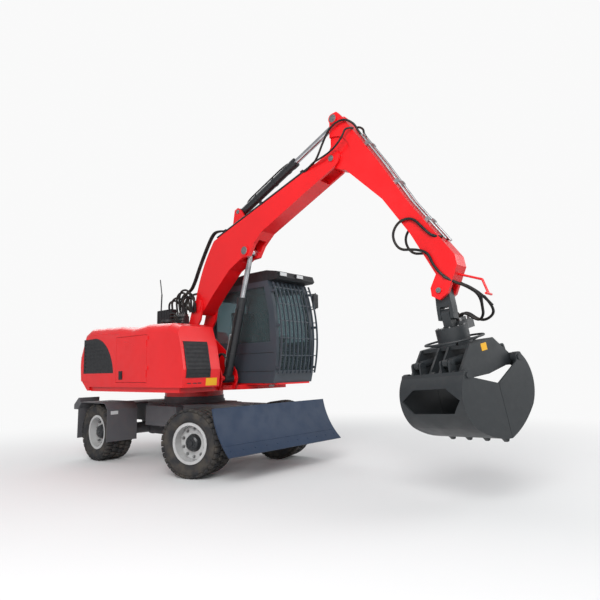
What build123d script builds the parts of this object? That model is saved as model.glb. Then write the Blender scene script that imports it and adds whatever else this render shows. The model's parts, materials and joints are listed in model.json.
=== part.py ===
from build123d import *
import math
import os

# Wheeled excavator with a dozer blade, a guarded cab, a boom and stick, and a clamshell grab.
# Machine axes: X forward, Y to the left, Z up, with zero on the ground under the slew axis.
# Each finished piece is shifted back by FRAME_AHEAD, so that the part's origin is the middle of its
# footprint. All sizes are in millimetres and angles in degrees.

os.makedirs("parts", exist_ok=True)

# Overall frame and common fits
FRAME_AHEAD = 1900.1
RUN_FIT = 0.05
SEAT_GAP = 0.3
SIDE_GAP = 6.0

# Wheels and axles
WHEELBASE = 2666.0
TYRE_R = 505.0
TYRE_W = 490.0
TREAD_DEPTH = 28.0
RIM_R = 286.0
FLANGE_R = 305.0
RIM_W = 410.0
WHEEL_Y = 990.0
KINGPIN_Y = 800.0
KINGPIN_R = 30.0
STEER_REST = 17.3
SPINDLE_R = 70.0
SPINDLE_REACH = 60.0
AXLE_R = 125.0
FRONT_X = WHEELBASE / 2
REAR_X = -WHEELBASE / 2

# Chassis
CHASSIS_Z = (660.0, 1010.0)
CHASSIS_WAIST = 600.0
CHASSIS_NARROW = 350.0
CHASSIS_X = (-1800.0, 1550.0)
SLEW_R = 560.0
SLEW_SPLIT_Z = 1130.0
DECK_Z = (1240.0, 1320.0)

# Dozer blade
BLADE_W = 2475.0
BLADE_TOP = (2065.0, 1038.0)
BLADE_MID = (2192.0, 690.0)
BLADE_LOW = (2436.0, 396.0)
BLADE_T = 22.0
BLADE_PIVOT = (1640.0, 610.0)
BLADE_ARM_Y = 290.0
BLADE_ARM_T = 60.0
BLADE_PIN_R = 30.0
BLADE_CYL_Y = 150.0
BLADE_CYL_FOOT = (1500.0, 930.0)
BLADE_CYL_EYE = (2085.0, 690.0)
BLADE_CYL_R = 48.0
BLADE_ROD_R = 26.0

# Upper body
HOOD_Y = (-1200.0, -480.0)
HOOD_REAR_X = -2040.0
HOOD_TOP_Z = 2430.0
HOOD_FRONT_TOP_Z = 2290.0
HOOD_WALL = 25.0
HOOD_CORNER_R = 120.0
HOOD_EDGE_R = 140.0
ENGINE_TOP = 2100.0
EXHAUST_AT = (-900.0, 250.0)
EXHAUST_R = 55.0
EXHAUST_TOP = 2540.0
ENGINE_DOOR_X = (-700.0, 300.0)
ENGINE_DOOR_Z = (1400.0, 2200.0)
PANEL_GAP = 6.0
DOOR_PIN_IN = 18.0
REAR_BODY_X = -450.0
CAB_X = (250.0, 1930.0)
CAB_Y = (200.0, 1170.0)
CAB_Z = (1345.0, 3090.0)
CAB_WALL = 55.0

# Boom, stick and their cylinders, as places in the side view
ARM_Y = -150.0
BOOM_HALF = 145.0
BOOM_FOOT = (520.0, 2700.0)
BOOM_PIN_R = 50.0
LIFT_PIN = (1730.0, 3530.0)
LIFT_FOOT = (1110.0, 1440.0)
LIFT_R = 75.0
LIFT_ROD_R = 45.0
LIFT_BARREL = 1400.0
STICK_PIN = (3590.0, 4570.0)
STICK_HALF = 130.0
STICK_NECK_HALF = 102.0
STICK_CYL_FOOT = (1520.0, 4250.0)
STICK_CYL_EYE = (3630.0, 5170.0)
STICK_CYL_R = 68.0
STICK_ROD_R = 42.0
STICK_BARREL = 1380.0
TIP_PIN = (5130.0, 2460.0)
TIP_PIN_R = 36.0

# Grab, measured from the stick's tip pin along its own hanging axis
LINK_LEAN = 6.3
CROSS_LEAN = 10.3
GRAB_YAW = -15.4
CROSS_DROP = 290.0
CROSS_R = 32.0
ROTATOR_DROP = 440.0
ROTATOR_H = 180.0
ROTATOR_R = 190.0
FRAME_DROP = ROTATOR_DROP + ROTATOR_H + SEAT_GAP
SHELL_PIN_DROP = 945.0
SHELL_PIN_Y = 480.0
SHELL_PIN_R = 34.0
SHELL_W = 930.0
SHELL_LOW_DROP = 1767.0
SHELL_T = 20.0
TOOTH = 42.0


# Shapes used by several pieces

def slab(x, y, z, mode=Mode.ADD):
    """Block between two limits on each axis."""
    with Locations(((x[0] + x[1]) / 2, (y[0] + y[1]) / 2, (z[0] + z[1]) / 2)):
        Box(x[1] - x[0], y[1] - y[0], z[1] - z[0], mode=mode)


def plate(points, y, mode=Mode.ADD):
    """Side-view outline, as X and Z pairs, made solid between two values of Y."""
    with BuildSketch(Plane.XZ.offset(-y[1])) as outline:
        with BuildLine():
            Polyline(*points, close=True)
        make_face()
    extrude(outline.sketch, amount=y[1] - y[0], mode=mode)


def plan(points, z, mode=Mode.ADD):
    """Plan outline, as X and Y pairs, made solid between two heights."""
    with BuildSketch(Plane.XY.offset(z[0])) as outline:
        with BuildLine():
            Polyline(*points, close=True)
        make_face()
    extrude(outline.sketch, amount=z[1] - z[0], mode=mode)


def section(points, x, mode=Mode.ADD):
    """Front-view outline, as Y and Z pairs, made solid between two values of X."""
    with BuildSketch(Plane.YZ.offset(x[0])) as outline:
        with BuildLine():
            Polyline(*points, close=True)
        make_face()
    extrude(outline.sketch, amount=x[1] - x[0], mode=mode)


def cross_pin(place, radius, y, mode=Mode.ADD):
    """Round bar along Y at a place in the side view."""
    with BuildSketch(Plane.XZ.offset(-y[1])) as disc:
        with Locations(place):
            Circle(radius)
    extrude(disc.sketch, amount=y[1] - y[0], mode=mode)


def bar(start, end, radius, mode=Mode.ADD):
    """Round bar between two points in space."""
    run = Vector(*end) - Vector(*start)
    with BuildSketch(Plane(origin=start, z_dir=run)) as disc:
        Circle(radius)
    extrude(disc.sketch, amount=run.length, mode=mode)


def along(start, end, distance):
    """Place in the side view at a distance from start towards end."""
    share = distance / math.dist(start, end)
    return (start[0] + share * (end[0] - start[0]), start[1] + share * (end[1] - start[1]))


def at(place, y):
    """Point in space from a place in the side view."""
    return (place[0], y, place[1])


def keep(solid, name, place=Location()):
    """Puts a finished piece in the part's frame, labels it and writes it."""
    piece = solid.moved(Location((-FRAME_AHEAD, 0, 0)) * place)
    piece.label = name
    export_step(piece, f"parts/{name}.step")


# Chassis: a waisted box frame that carries the slew ring

half_plan = [
    (CHASSIS_X[0], CHASSIS_NARROW), (-1000, CHASSIS_NARROW), (-600, CHASSIS_WAIST),
    (500, CHASSIS_WAIST), (800, CHASSIS_NARROW), (CHASSIS_X[1], CHASSIS_NARROW),
]
with BuildPart() as chassis_frame:
    plan(half_plan + [(x, -y) for x, y in reversed(half_plan)], CHASSIS_Z)
    with BuildSketch(Plane.XY.offset(CHASSIS_Z[1])):
        Circle(SLEW_R)
        Circle(SLEW_R - 130, mode=Mode.SUBTRACT)
    extrude(amount=50)
    # lugs for the blade's arms and cylinders on the front plate
    for side in (-1, 1):
        for inner in (BLADE_ARM_Y - BLADE_ARM_T / 2 - SIDE_GAP - 30, BLADE_ARM_Y + BLADE_ARM_T / 2 + SIDE_GAP):
            y = sorted((side * inner, side * (inner + 30)))
            plate([(1500, 540), (1500, CHASSIS_Z[0] + 10), (1690, CHASSIS_Z[0] + 10), (1690, 560),
                   (1640, 540)], y)
        cross_pin(BLADE_PIVOT, BLADE_PIN_R, sorted((side * 240, side * 356)))
    slab((1380, CHASSIS_X[1]), (-BLADE_CYL_Y - 110, BLADE_CYL_Y + 110), (760, CHASSIS_Z[1]),
         mode=Mode.SUBTRACT)
    for y0 in (-BLADE_CYL_Y - 110, -20, BLADE_CYL_Y + 70):
        slab((1380, CHASSIS_X[1]), (y0, y0 + 40), (760, CHASSIS_Z[1]))
    cross_pin(BLADE_CYL_FOOT, 28, (-BLADE_CYL_Y - 110, BLADE_CYL_Y + 110))
    # lashing eyes at the rear
    for side in (-1, 1):
        slab((-1880, -1800), sorted((side * 250, side * 290)), (720, 860))
        cross_pin((-1840, 790), 25, sorted((side * 250, side * 290)), mode=Mode.SUBTRACT)
keep(chassis_frame.part, "chassis_frame")

with BuildPart() as slew_ring:
    with BuildSketch(Plane.XY.offset(CHASSIS_Z[1] + 50)):
        Circle(SLEW_R - 20)
        Circle(SLEW_R - 120, mode=Mode.SUBTRACT)
    extrude(amount=SLEW_SPLIT_Z - CHASSIS_Z[1] - 50)
keep(slew_ring.part, "slew_ring")

with BuildPart() as tool_boxes:
    for side in (-1, 1):
        slab((-450, 480), sorted((side * CHASSIS_WAIST, side * 735)), (640, 985))
keep(tool_boxes.part, "tool_boxes")


# Axles

def axle_housing(x, half):
    """Tapered housing with a round differential case in the middle."""
    with BuildSketch(Plane.XZ.offset(-half)) as tube:
        with Locations((x, TYRE_R)):
            Circle(AXLE_R - 20)
    extrude(tube.sketch, amount=2 * half)
    with Locations((x, 0, TYRE_R)):
        Sphere(150)
    slab((x - 110, x + 110), (-200, 200), (TYRE_R, CHASSIS_Z[0]))


YOKE_HALF = 150.0
EAR_T = 45.0
with BuildPart() as front_axle:
    axle_housing(FRONT_X, KINGPIN_Y - 130)
    for side in (-1, 1):
        y = sorted((side * (KINGPIN_Y - 160), side * (KINGPIN_Y - 110)))
        slab((FRONT_X - 90, FRONT_X + 90), y, (TYRE_R - YOKE_HALF, TYRE_R + YOKE_HALF))
        for low in (TYRE_R - YOKE_HALF, TYRE_R + YOKE_HALF - EAR_T):
            y = sorted((side * (KINGPIN_Y - 130), side * KINGPIN_Y))
            slab((FRONT_X - 60, FRONT_X + 60), y, (low, low + EAR_T))
            with Locations((FRONT_X, side * KINGPIN_Y, low + EAR_T / 2)):
                Cylinder(60, EAR_T)
        with Locations((FRONT_X, side * KINGPIN_Y, TYRE_R)):
            Cylinder(KINGPIN_R + RUN_FIT, 4 * YOKE_HALF, mode=Mode.SUBTRACT)
keep(front_axle.part, "front_axle")

with BuildPart() as rear_axle:
    axle_housing(REAR_X, WHEEL_Y - 230)
    with BuildSketch(Plane.XZ.offset(-(WHEEL_Y + SPINDLE_REACH))):
        with Locations((REAR_X, TYRE_R)):
            Circle(SPINDLE_R)
    extrude(amount=2 * (WHEEL_Y + SPINDLE_REACH))
    # gearbox and propshaft towards the front axle
    slab((REAR_X + 150, REAR_X + 620), (-190, 190), (400, CHASSIS_Z[0]))
    bar((REAR_X + 620, 0, TYRE_R), (FRONT_X - 150 - SEAT_GAP, 0, TYRE_R), 45)
keep(rear_axle.part, "rear_axle")

SPIN_ROOM = 8.0
with BuildPart() as knuckle:
    Cylinder(75, 2 * (YOKE_HALF - EAR_T - SPIN_ROOM))
    Cylinder(KINGPIN_R, 2 * YOKE_HALF)
    with BuildSketch(Plane.XZ):
        Circle(SPINDLE_R)
    extrude(amount=WHEEL_Y - KINGPIN_Y + SPINDLE_REACH)
for side, name in ((-1, "knuckle_right"), (1, "knuckle_left")):
    turn = STEER_REST if side < 0 else STEER_REST + 180
    keep(knuckle.part, name, Location((FRONT_X, side * KINGPIN_Y, TYRE_R), (0, 0, turn)))

# Wheel, with its spin axis along Y and its outer face towards minus Y

with BuildPart() as rim:
    with BuildSketch(Plane.YZ):
        with BuildLine():
            Polyline(
                (-RIM_W / 2, 262), (-RIM_W / 2, FLANGE_R), (-RIM_W / 2 + 20, FLANGE_R),
                (-RIM_W / 2 + 20, RIM_R), (RIM_W / 2 - 20, RIM_R), (RIM_W / 2 - 20, FLANGE_R),
                (RIM_W / 2, FLANGE_R), (RIM_W / 2, 262), (-20, 262), (-45, 235), (-45, 175),
                (105, 175), (105, SPINDLE_R + RUN_FIT), (-70, SPINDLE_R + RUN_FIT), (-70, 0),
                (-165, 0), (-165, 80), (-150, 105), (-85, 130), (-75, 165), (-75, 240), (-60, 262),
                close=True,
            )
        make_face()
    revolve(axis=Axis.Y)

TYRE_SIDES = 34
BEAD_SIDES = 26
LUG_SHARE = 0.9
with BuildPart() as tyre:
    h = TYRE_W / 2
    outer = TYRE_R - TREAD_DEPTH
    bead = RIM_W / 2 - 20 - SEAT_GAP
    with BuildSketch(Plane.XZ.offset(-h)) as carcass:
        RegularPolygon(outer, TYRE_SIDES, major_radius=False, rotation=180 / TYRE_SIDES)
        RegularPolygon(RIM_R + SEAT_GAP, BEAD_SIDES, major_radius=False, mode=Mode.SUBTRACT)
    extrude(carcass.sketch, amount=TYRE_W)
    flat_edges = tyre.edges().filter_by(Plane.XZ)
    chamfer(flat_edges.filter_by(lambda e: math.hypot(e.center().X, e.center().Z) > outer - 5), 42)
    # room for the flanges of the rim
    for y in (-h, bead):
        with BuildSketch(Plane.XZ.offset(-y - (h - bead))) as flange_room:
            RegularPolygon(FLANGE_R + 4, BEAD_SIDES, major_radius=False)
        extrude(flange_room.sketch, amount=h - bead, mode=Mode.SUBTRACT)
    # lugs: one on each flat of the carcass, on the two shoulders in turn
    half_lug = outer * math.tan(math.pi / TYRE_SIDES) * LUG_SHARE
    for i in range(TYRE_SIDES):
        y = -h + 8 if i % 2 else 25
        with BuildSketch(Plane.XZ.rotated((0, 360 / TYRE_SIDES * i, 0)).offset(-y - (h - 33))) as lug:
            with Locations((0, -(TYRE_R + outer - 30) / 2)):
                Rectangle(2 * half_lug, TYRE_R - outer + 30)
        extrude(lug.sketch, amount=h - 33)

wheels = (
    ("front_right", FRONT_X, -1, STEER_REST), ("front_left", FRONT_X, 1, STEER_REST),
    ("rear_right", REAR_X, -1, 0.0), ("rear_left", REAR_X, 1, 0.0),
)
for name, x, side, steer in wheels:
    pivot = KINGPIN_Y if x > 0 else 0.0
    turn = steer if side < 0 else steer + 180
    out = WHEEL_Y - pivot
    place = Location((x, side * pivot, TYRE_R), (0, 0, turn)) * Location((0, -out, 0))
    keep(rim.part, f"rim_{name}", place)
    keep(tyre.part, f"tyre_{name}", place)

# Rear mudguards: a bent plate round each rear wheel, with a lamp box behind

GUARD_Y = (700.0, 1285.0)
GUARD_T = 12.0
GUARD_FRONT = REAR_X + 538.0
GUARD_REAR = REAR_X - 582.0
guard_line = [(GUARD_FRONT, 370), (GUARD_FRONT, 930), (GUARD_FRONT - 105, 1045), (GUARD_REAR + 125, 1045),
              (GUARD_REAR + 10, 930), (GUARD_REAR, 370)]
guard_inner = [(GUARD_FRONT - GUARD_T, 370), (GUARD_FRONT - GUARD_T, 925), (GUARD_FRONT - 110, 1045 - GUARD_T),
               (GUARD_REAR + 130, 1045 - GUARD_T), (GUARD_REAR + 22, 925), (GUARD_REAR + GUARD_T, 370)]
with BuildPart() as mudguards:
    for side in (-1, 1):
        y = sorted((side * GUARD_Y[0], side * GUARD_Y[1]))
        plate(guard_line + guard_inner[::-1], y)
        bearer = (REAR_X - 367, REAR_X + 333)
        slab(bearer, sorted((side * CHASSIS_NARROW, side * GUARD_Y[0])), (985, 1010))
        slab(bearer, sorted((side * (GUARD_Y[0] - GUARD_T), side * GUARD_Y[0])), (1010, 1045))
        wedge = [(GUARD_REAR - 165, 900), (GUARD_REAR - 165, 990), (GUARD_REAR + 15, 1120),
                 (GUARD_REAR + 75, 1120), (GUARD_REAR + 75, 1045), (GUARD_REAR + 125, 1045),
                 (GUARD_REAR + 10, 930), (GUARD_REAR + 10, 900)]
        plate(wedge, sorted((side * 900, side * GUARD_Y[1])))
keep(mudguards.part, "mudguards")

# Dozer blade on two arms, and its two cylinders

def blade_section(back):
    """Point list's arc through the mouldboard, moved back by a distance."""
    return [(p[0] - 0.9 * back, p[1] - 0.45 * back) for p in (BLADE_TOP, BLADE_MID, BLADE_LOW)]


with BuildPart() as blade:
    front = blade_section(0)
    rear = blade_section(BLADE_T)
    with BuildSketch(Plane.XZ.offset(-BLADE_W / 2)):
        with BuildLine():
            ThreePointArc(*front)
            Line(front[2], rear[2])
            ThreePointArc(*rear[::-1])
            Line(rear[0], front[0])
        make_face()
    extrude(amount=BLADE_W)
    for side in (-1, 1):
        y = sorted((side * (BLADE_ARM_Y - BLADE_ARM_T / 2), side * (BLADE_ARM_Y + BLADE_ARM_T / 2)))
        plate([(1640, 530), (1600, 560), (1580, 610), (1600, 660), (1640, 690), (2060, 800), (2130, 800),
               (2160, 690), (2290, 520), (2060, 520)], y)
        cross_pin(BLADE_PIVOT, BLADE_PIN_R + RUN_FIT, y, mode=Mode.SUBTRACT)
        for inner in (BLADE_CYL_Y - 70, BLADE_CYL_Y + 45):
            plate([(2050, 620), (2030, 690), (2050, 750), (2130, 770), (2170, 690), (2230, 600)],
                  sorted((side * inner, side * (inner + 25))))
keep(blade.part, "blade")


def barrel(foot, eye, length, radius, rod_r, y, eye_r, pin_r, eye_half):
    """Cylinder barrel with its foot eye, along the line to the rod's eye."""
    bar(at(along(foot, eye, pin_r + 6), y), at(along(foot, eye, length), y), radius)
    cross_pin(foot, eye_r, (y - eye_half, y + eye_half))
    cross_pin(foot, pin_r + RUN_FIT, (y - eye_half, y + eye_half), mode=Mode.SUBTRACT)
    bar(at(along(foot, eye, eye_r + 50), y), at(along(foot, eye, length + 20), y), rod_r + SEAT_GAP,
        mode=Mode.SUBTRACT)


def piston_rod(foot, eye, inner_end, radius, y, eye_r, eye_half):
    """Piston rod from inside its barrel to its open eye."""
    bar(at(along(foot, eye, inner_end), y), at(along(foot, eye, math.dist(foot, eye) - eye_r * 0.5), y),
        radius)
    cross_pin(eye, eye_r, (y - eye_half, y + eye_half))
    cross_pin(eye, eye_r * 0.55, (y - eye_half, y + eye_half), mode=Mode.SUBTRACT)


BLADE_BARREL = 420.0
with BuildPart() as blade_barrels:
    for y in (-BLADE_CYL_Y, BLADE_CYL_Y):
        barrel(BLADE_CYL_FOOT, BLADE_CYL_EYE, BLADE_BARREL, BLADE_CYL_R, BLADE_ROD_R, y, 46, 28, 40)
keep(blade_barrels.part, "blade_cylinder_barrels")

with BuildPart() as blade_rods:
    for y in (-BLADE_CYL_Y, BLADE_CYL_Y):
        piston_rod(BLADE_CYL_FOOT, BLADE_CYL_EYE, BLADE_BARREL - 200, BLADE_ROD_R, y, 40, 30)
keep(blade_rods.part, "blade_cylinder_rods")

# Upper frame: turntable, deck, boom tower and the clevis of the lift cylinder

TOWER_T = 32.0
TOWER_IN = BOOM_HALF + SIDE_GAP
with BuildPart() as upper_frame:
    with BuildSketch(Plane.XY.offset(SLEW_SPLIT_Z + SEAT_GAP)):
        Circle(SLEW_R - 30)
    extrude(amount=DECK_Z[0] - SLEW_SPLIT_Z - SEAT_GAP)
    plan([(-1700, -1150), (-1700, 1150), (1250, 1150), (1250, 420), (1000, -150), (1150, -480), (1150, -1150)],
         DECK_Z)
    for side in (-1, 1):
        y = sorted((ARM_Y + side * TOWER_IN, ARM_Y + side * (TOWER_IN + TOWER_T)))
        plate([(-350, 1320), (280, 2450), (400, 2790), (500, 2850), (610, 2820), (660, 2700), (600, 2470),
               (430, 2250), (900, 1900), (1150, 1560), (1180, 1440), (1150, 1330),
               (1110, 1250), (-350, 1250)], y)
    cross_pin(BOOM_FOOT, BOOM_PIN_R, (ARM_Y - TOWER_IN - TOWER_T, ARM_Y + TOWER_IN + TOWER_T))
    cross_pin(LIFT_FOOT, 45, (ARM_Y - TOWER_IN - TOWER_T, ARM_Y + TOWER_IN + TOWER_T))
keep(upper_frame.part, "upper_frame")

# Engine hood: the rear body and the long right-hand wing, as one thin shell open below

hood_side = [
    (HOOD_REAR_X + 30, 1425), (HOOD_REAR_X, 1700), (HOOD_REAR_X + 20, 2150), (HOOD_REAR_X + 110, 2340),
    (HOOD_REAR_X + 330, HOOD_TOP_Z), (-660, 2400), (-220, 2345), (250, 2380), (900, 2350),
    (1120, HOOD_FRONT_TOP_Z), (1240, 1980), (1320, 1600), (1290, DECK_Z[1] + SEAT_GAP),
    (-1700, DECK_Z[1] + SEAT_GAP), (-1700, 1425),
]
hood_room = [
    (-1690, 1300), (-1690, 1450), (HOOD_REAR_X + 60, 1450), (HOOD_REAR_X + 30, 1700), (HOOD_REAR_X + 48, 2140),
    (HOOD_REAR_X + 130, 2320), (HOOD_REAR_X + 335, HOOD_TOP_Z - 26), (-660, 2374), (-220, 2319),
    (250, 2354), (890, 2324), (1100, HOOD_FRONT_TOP_Z - 20), (1212, 1970), (1292, 1600), (1260, 1300),
]
REAR_SPAN = (HOOD_Y[0], -HOOD_Y[0])
DOOR_KNUCKLE_Z = (ENGINE_DOOR_Z[0] + 150, ENGINE_DOOR_Z[1] - 150)
KNUCKLE_R = 7.0
KNUCKLE_H = 120.0


def hinge_leaf(place, out, reach, z):
    """Fixed hinge knuckle above a door's own one, on a strap that reaches over the jamb."""
    low = z + KNUCKLE_H / 2 + SEAT_GAP
    with Locations((*place, low + 30)):
        Cylinder(KNUCKLE_R, 60)
    x = sorted((place[0], place[0] + reach))
    slab(x, sorted((place[1], place[1] + out * KNUCKLE_R)), (low, low + 60))
    x = sorted((place[0] + reach, place[0] + reach * 0.5))
    slab(x, sorted((place[1] - out * 12, place[1] + out * KNUCKLE_R)), (low, low + 60))


def knuckle_notch(place, z):
    """Room in a door for the fixed knuckle above its own one."""
    with Locations((*place, z + KNUCKLE_H / 2 + 30)):
        Cylinder(KNUCKLE_R + 1, 60 + 2 * PANEL_GAP, mode=Mode.SUBTRACT)
    with Locations((*place, z)):
        Cylinder(KNUCKLE_R, KNUCKLE_H)


rear_outer = hood_side[:6] + [(REAR_BODY_X, 2374), (REAR_BODY_X, DECK_Z[1] + SEAT_GAP)] + hood_side[-2:]
rear_room = hood_room[:8] + [(REAR_BODY_X - 25, 2348), (REAR_BODY_X - 25, 1300)]
GRILLE_X = (-1930.0, -790.0)
GRILLE_Z = (1570.0, 2220.0)
LOUVRES = 8
LOUVRE_PITCH = 70.0
LOUVRE_DEPTH = 8.0
FRONT_GRILLE_Y = (HOOD_Y[0] + 55, HOOD_Y[1] - 200)


def louvre_end(z):
    """Front end in X of a louvre of the side grille, inside its curved edge."""
    rise = (z + LOUVRE_PITCH / 2 - GRILLE_Z[0]) / (GRILLE_Z[1] - GRILLE_Z[0])
    return GRILLE_X[1] - 830 * rise ** 2.2


def hood_front_x(z):
    """Place in X of the hood's sloping front at a height."""
    for (xa, za), (xb, zb) in zip(hood_side[9:12], hood_side[10:13]):
        if zb <= z <= za:
            return xa + (xb - xa) * (za - z) / (za - zb)
    return hood_side[9][0]


def rounded_plate(points, y, radius):
    """Side-view outline with its upper corners rounded, made solid between two values of Y."""
    with BuildSketch(Plane.XZ.offset(-y[1])) as outline:
        with BuildLine():
            Polyline(*points, close=True)
        make_face()
        fillet([v for v in outline.vertices() if v.Z > 1990], radius)
    extrude(outline.sketch, amount=y[1] - y[0])


def round_top_edges(body, radius):
    """Round the upper edges of a body along its two sides."""
    for limit in (0, -1):
        rim_edges = body.edges().group_by(Axis.Y)[limit]
        fillet(rim_edges.filter_by(lambda e: e.center().Z > 2230), radius)


with BuildPart() as hood_void:
    rounded_plate(hood_room, (HOOD_Y[0] + HOOD_WALL, HOOD_Y[1] - HOOD_WALL), HOOD_CORNER_R - HOOD_WALL)
    rounded_plate(rear_room, (HOOD_Y[0] + HOOD_WALL, -HOOD_Y[0] - HOOD_WALL), HOOD_CORNER_R - HOOD_WALL)
    round_top_edges(hood_void, HOOD_EDGE_R - HOOD_WALL)

with BuildPart() as engine_hood:
    rounded_plate(hood_side, HOOD_Y, HOOD_CORNER_R)
    rounded_plate(rear_outer, REAR_SPAN, HOOD_CORNER_R)
    round_top_edges(engine_hood, HOOD_EDGE_R)
    add(hood_void.part, mode=Mode.SUBTRACT)
    slab(ENGINE_DOOR_X, (HOOD_Y[0], HOOD_Y[0] + HOOD_WALL), ENGINE_DOOR_Z, mode=Mode.SUBTRACT)
    with Locations((*EXHAUST_AT, EXHAUST_TOP)):
        Cylinder(EXHAUST_R + SIDE_GAP, 2 * (EXHAUST_TOP - ENGINE_TOP), mode=Mode.SUBTRACT)
    # fixed knuckles of the engine door's hinges, each on a strap, above the door's own knuckles
    for z in DOOR_KNUCKLE_Z:
        hinge_leaf((ENGINE_DOOR_X[1] - DOOR_PIN_IN, HOOD_Y[0] - 3), -1, DOOR_PIN_IN + 36, z)
    # quarter-round air grille behind the door, on each side
    with BuildSketch(Plane.XZ.offset(-REAR_SPAN[1])):
        with BuildLine():
            Line((GRILLE_X[0], GRILLE_Z[0]), (GRILLE_X[1], GRILLE_Z[0]))
            ThreePointArc((GRILLE_X[1], GRILLE_Z[0]), (-1010, 2020), (-1620, GRILLE_Z[1]))
            Line((-1620, GRILLE_Z[1]), (GRILLE_X[0], GRILLE_Z[1]))
            Line((GRILLE_X[0], GRILLE_Z[1]), (GRILLE_X[0], GRILLE_Z[0]))
        make_face()
    extrude(amount=2 * REAR_SPAN[1], mode=Mode.SUBTRACT)
keep(engine_hood.part, "engine_hood")

with BuildPart() as hood_grilles:
    for y in ((HOOD_Y[0] + 4, HOOD_Y[0] + 20), (-HOOD_Y[0] - 20, -HOOD_Y[0] - 4)):
        with BuildSketch(Plane.XZ.offset(-y[1])) as mesh:
            with BuildLine():
                Line((GRILLE_X[0], GRILLE_Z[0]), (GRILLE_X[1], GRILLE_Z[0]))
                ThreePointArc((GRILLE_X[1], GRILLE_Z[0]), (-1010, 2020), (-1620, GRILLE_Z[1]))
                Line((-1620, GRILLE_Z[1]), (GRILLE_X[0], GRILLE_Z[1]))
                Line((GRILLE_X[0], GRILLE_Z[1]), (GRILLE_X[0], GRILLE_Z[0]))
            make_face()
            offset(amount=-SEAT_GAP, kind=Kind.INTERSECTION)
        extrude(mesh.sketch, amount=y[1] - y[0])
        face = y[0] if y[0] < 0 else y[1] - LOUVRE_DEPTH
        for i in range(LOUVRES):
            z = GRILLE_Z[0] + 40 + i * LOUVRE_PITCH
            slab((GRILLE_X[0] + 40, louvre_end(z) - 40), (face, face + LOUVRE_DEPTH),
                 (z, z + LOUVRE_PITCH / 2), mode=Mode.SUBTRACT)
keep(hood_grilles.part, "hood_grilles")

# Louvred window in the sloping front of the hood
front_z = (2040, 1980, 1600, 1470)
with BuildPart() as front_grille:
    inner_face = [(hood_front_x(z) + SEAT_GAP, z) for z in front_z]
    outer_face = [(hood_front_x(z) + 12, z) for z in front_z]
    plate(inner_face + outer_face[::-1], FRONT_GRILLE_Y)
    for i in range(LOUVRES):
        z = front_z[-1] + 35 + i * 66
        slab((hood_front_x(z) + 4, hood_front_x(z) + 40), (FRONT_GRILLE_Y[0] + 30, FRONT_GRILLE_Y[1] - 30),
             (z, z + 30), mode=Mode.SUBTRACT)
keep(front_grille.part, "front_grille")

with BuildPart() as engine_door:
    slab((ENGINE_DOOR_X[0] + PANEL_GAP, ENGINE_DOOR_X[1] - PANEL_GAP), (HOOD_Y[0], HOOD_Y[0] + HOOD_WALL),
         (ENGINE_DOOR_Z[0] + PANEL_GAP, ENGINE_DOOR_Z[1] - PANEL_GAP))
    for z in DOOR_KNUCKLE_Z:
        knuckle_notch((ENGINE_DOOR_X[1] - DOOR_PIN_IN, HOOD_Y[0] - 3), z)
keep(engine_door.part, "engine_door")

with BuildPart() as counterweight:
    plate([(-1700 - SEAT_GAP, 1250), (-1780, 1250), (-2005, 1425), (-1700 - SEAT_GAP, 1425)], (-1185, 1185))
keep(counterweight.part, "counterweight")

with BuildPart() as engine_block:
    slab((-1650, -750), (-420, 620), (DECK_Z[1], ENGINE_TOP))
keep(engine_block.part, "engine_block")

# Open hydraulics on the hood, behind the boom tower, and the exhaust cap

with BuildPart() as deck_hydraulics:
    tower_face = ARM_Y - TOWER_IN - TOWER_T - SEAT_GAP
    slab((-600, 330), (-460, tower_face), (2395, 2420))
    # oil cooler with its fins, and the valve bank in front of it
    slab((-570, -90), (-452, -352), (2420, 2700))
    for i in range(9):
        slab((-550 + i * 52, -530 + i * 52), (-460, -344), (2440, 2720))
    slab((-50, 290), (-445, tower_face - 10), (2420, 2560))
    for x in (0, 90, 180):
        bar((x + 30, -395, 2560), (x + 30, -395, 2640), 26)
    # filter and the thin stalk behind it
    with Locations((240, -400, 2640)):
        Cylinder(42, 170)
    bar((-520, -400, 2690), (-500, -400, 3040), 13)
    bar((-500, -400, 3030), (-560, -400, 3330), 10)
keep(deck_hydraulics.part, "deck_hydraulics")

with BuildPart() as side_cover:
    plate([(REAR_BODY_X + PANEL_GAP, DECK_Z[1] + SEAT_GAP), (REAR_BODY_X + PANEL_GAP, 2040),
           (REAR_BODY_X + 90, 2100), (CAB_X[0] - 130, 2080), (CAB_X[0] - PANEL_GAP, 1980),
           (CAB_X[0] - PANEL_GAP, DECK_Z[1] + SEAT_GAP)],
          (120, -HOOD_Y[0] - 40))
    outer_edges = side_cover.edges().filter_by(GeomType.LINE).group_by(Axis.Y)[-1]
    fillet(outer_edges.filter_by(lambda e: e.center().Z > 1900), 30)
keep(side_cover.part, "side_cover")

with BuildPart() as exhaust_cap:
    with Locations((*EXHAUST_AT, (ENGINE_TOP + EXHAUST_TOP) / 2)):
        Cylinder(EXHAUST_R, EXHAUST_TOP - ENGINE_TOP)
    with Locations((*EXHAUST_AT, EXHAUST_TOP)):
        Cylinder(EXHAUST_R + 28, 90)
keep(exhaust_cap.part, "exhaust_cap")

# Cab: a hollow body with its windows cut, a door on the left and a roof

cab_outer = [(CAB_X[0], CAB_Z[0]), (1860, CAB_Z[0]), (1900, 1500), (1760, CAB_Z[1]), (420, CAB_Z[1]),
             (CAB_X[0], 2930)]
CAB_BOW = (1945.0, 2050.0)
door_line = [(950, 1420), (1790, 1420), (1835, 1600), (1860, 2050), (1820, 2550), (1710, 3020), (950, 3020)]
DOOR_HINGE_X = 970.0
CAB_KNUCKLE_Z = (1650, 2250, 2800)
door_pane = [(1030, 2060), (1780, 2060), (1755, 2500), (1660, 2950), (1030, 2950)]
side_pane = [(330, 2040), (1800, 2040), (1770, 2500), (1665, 2990), (460, 2990), (330, 2880)]


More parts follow.
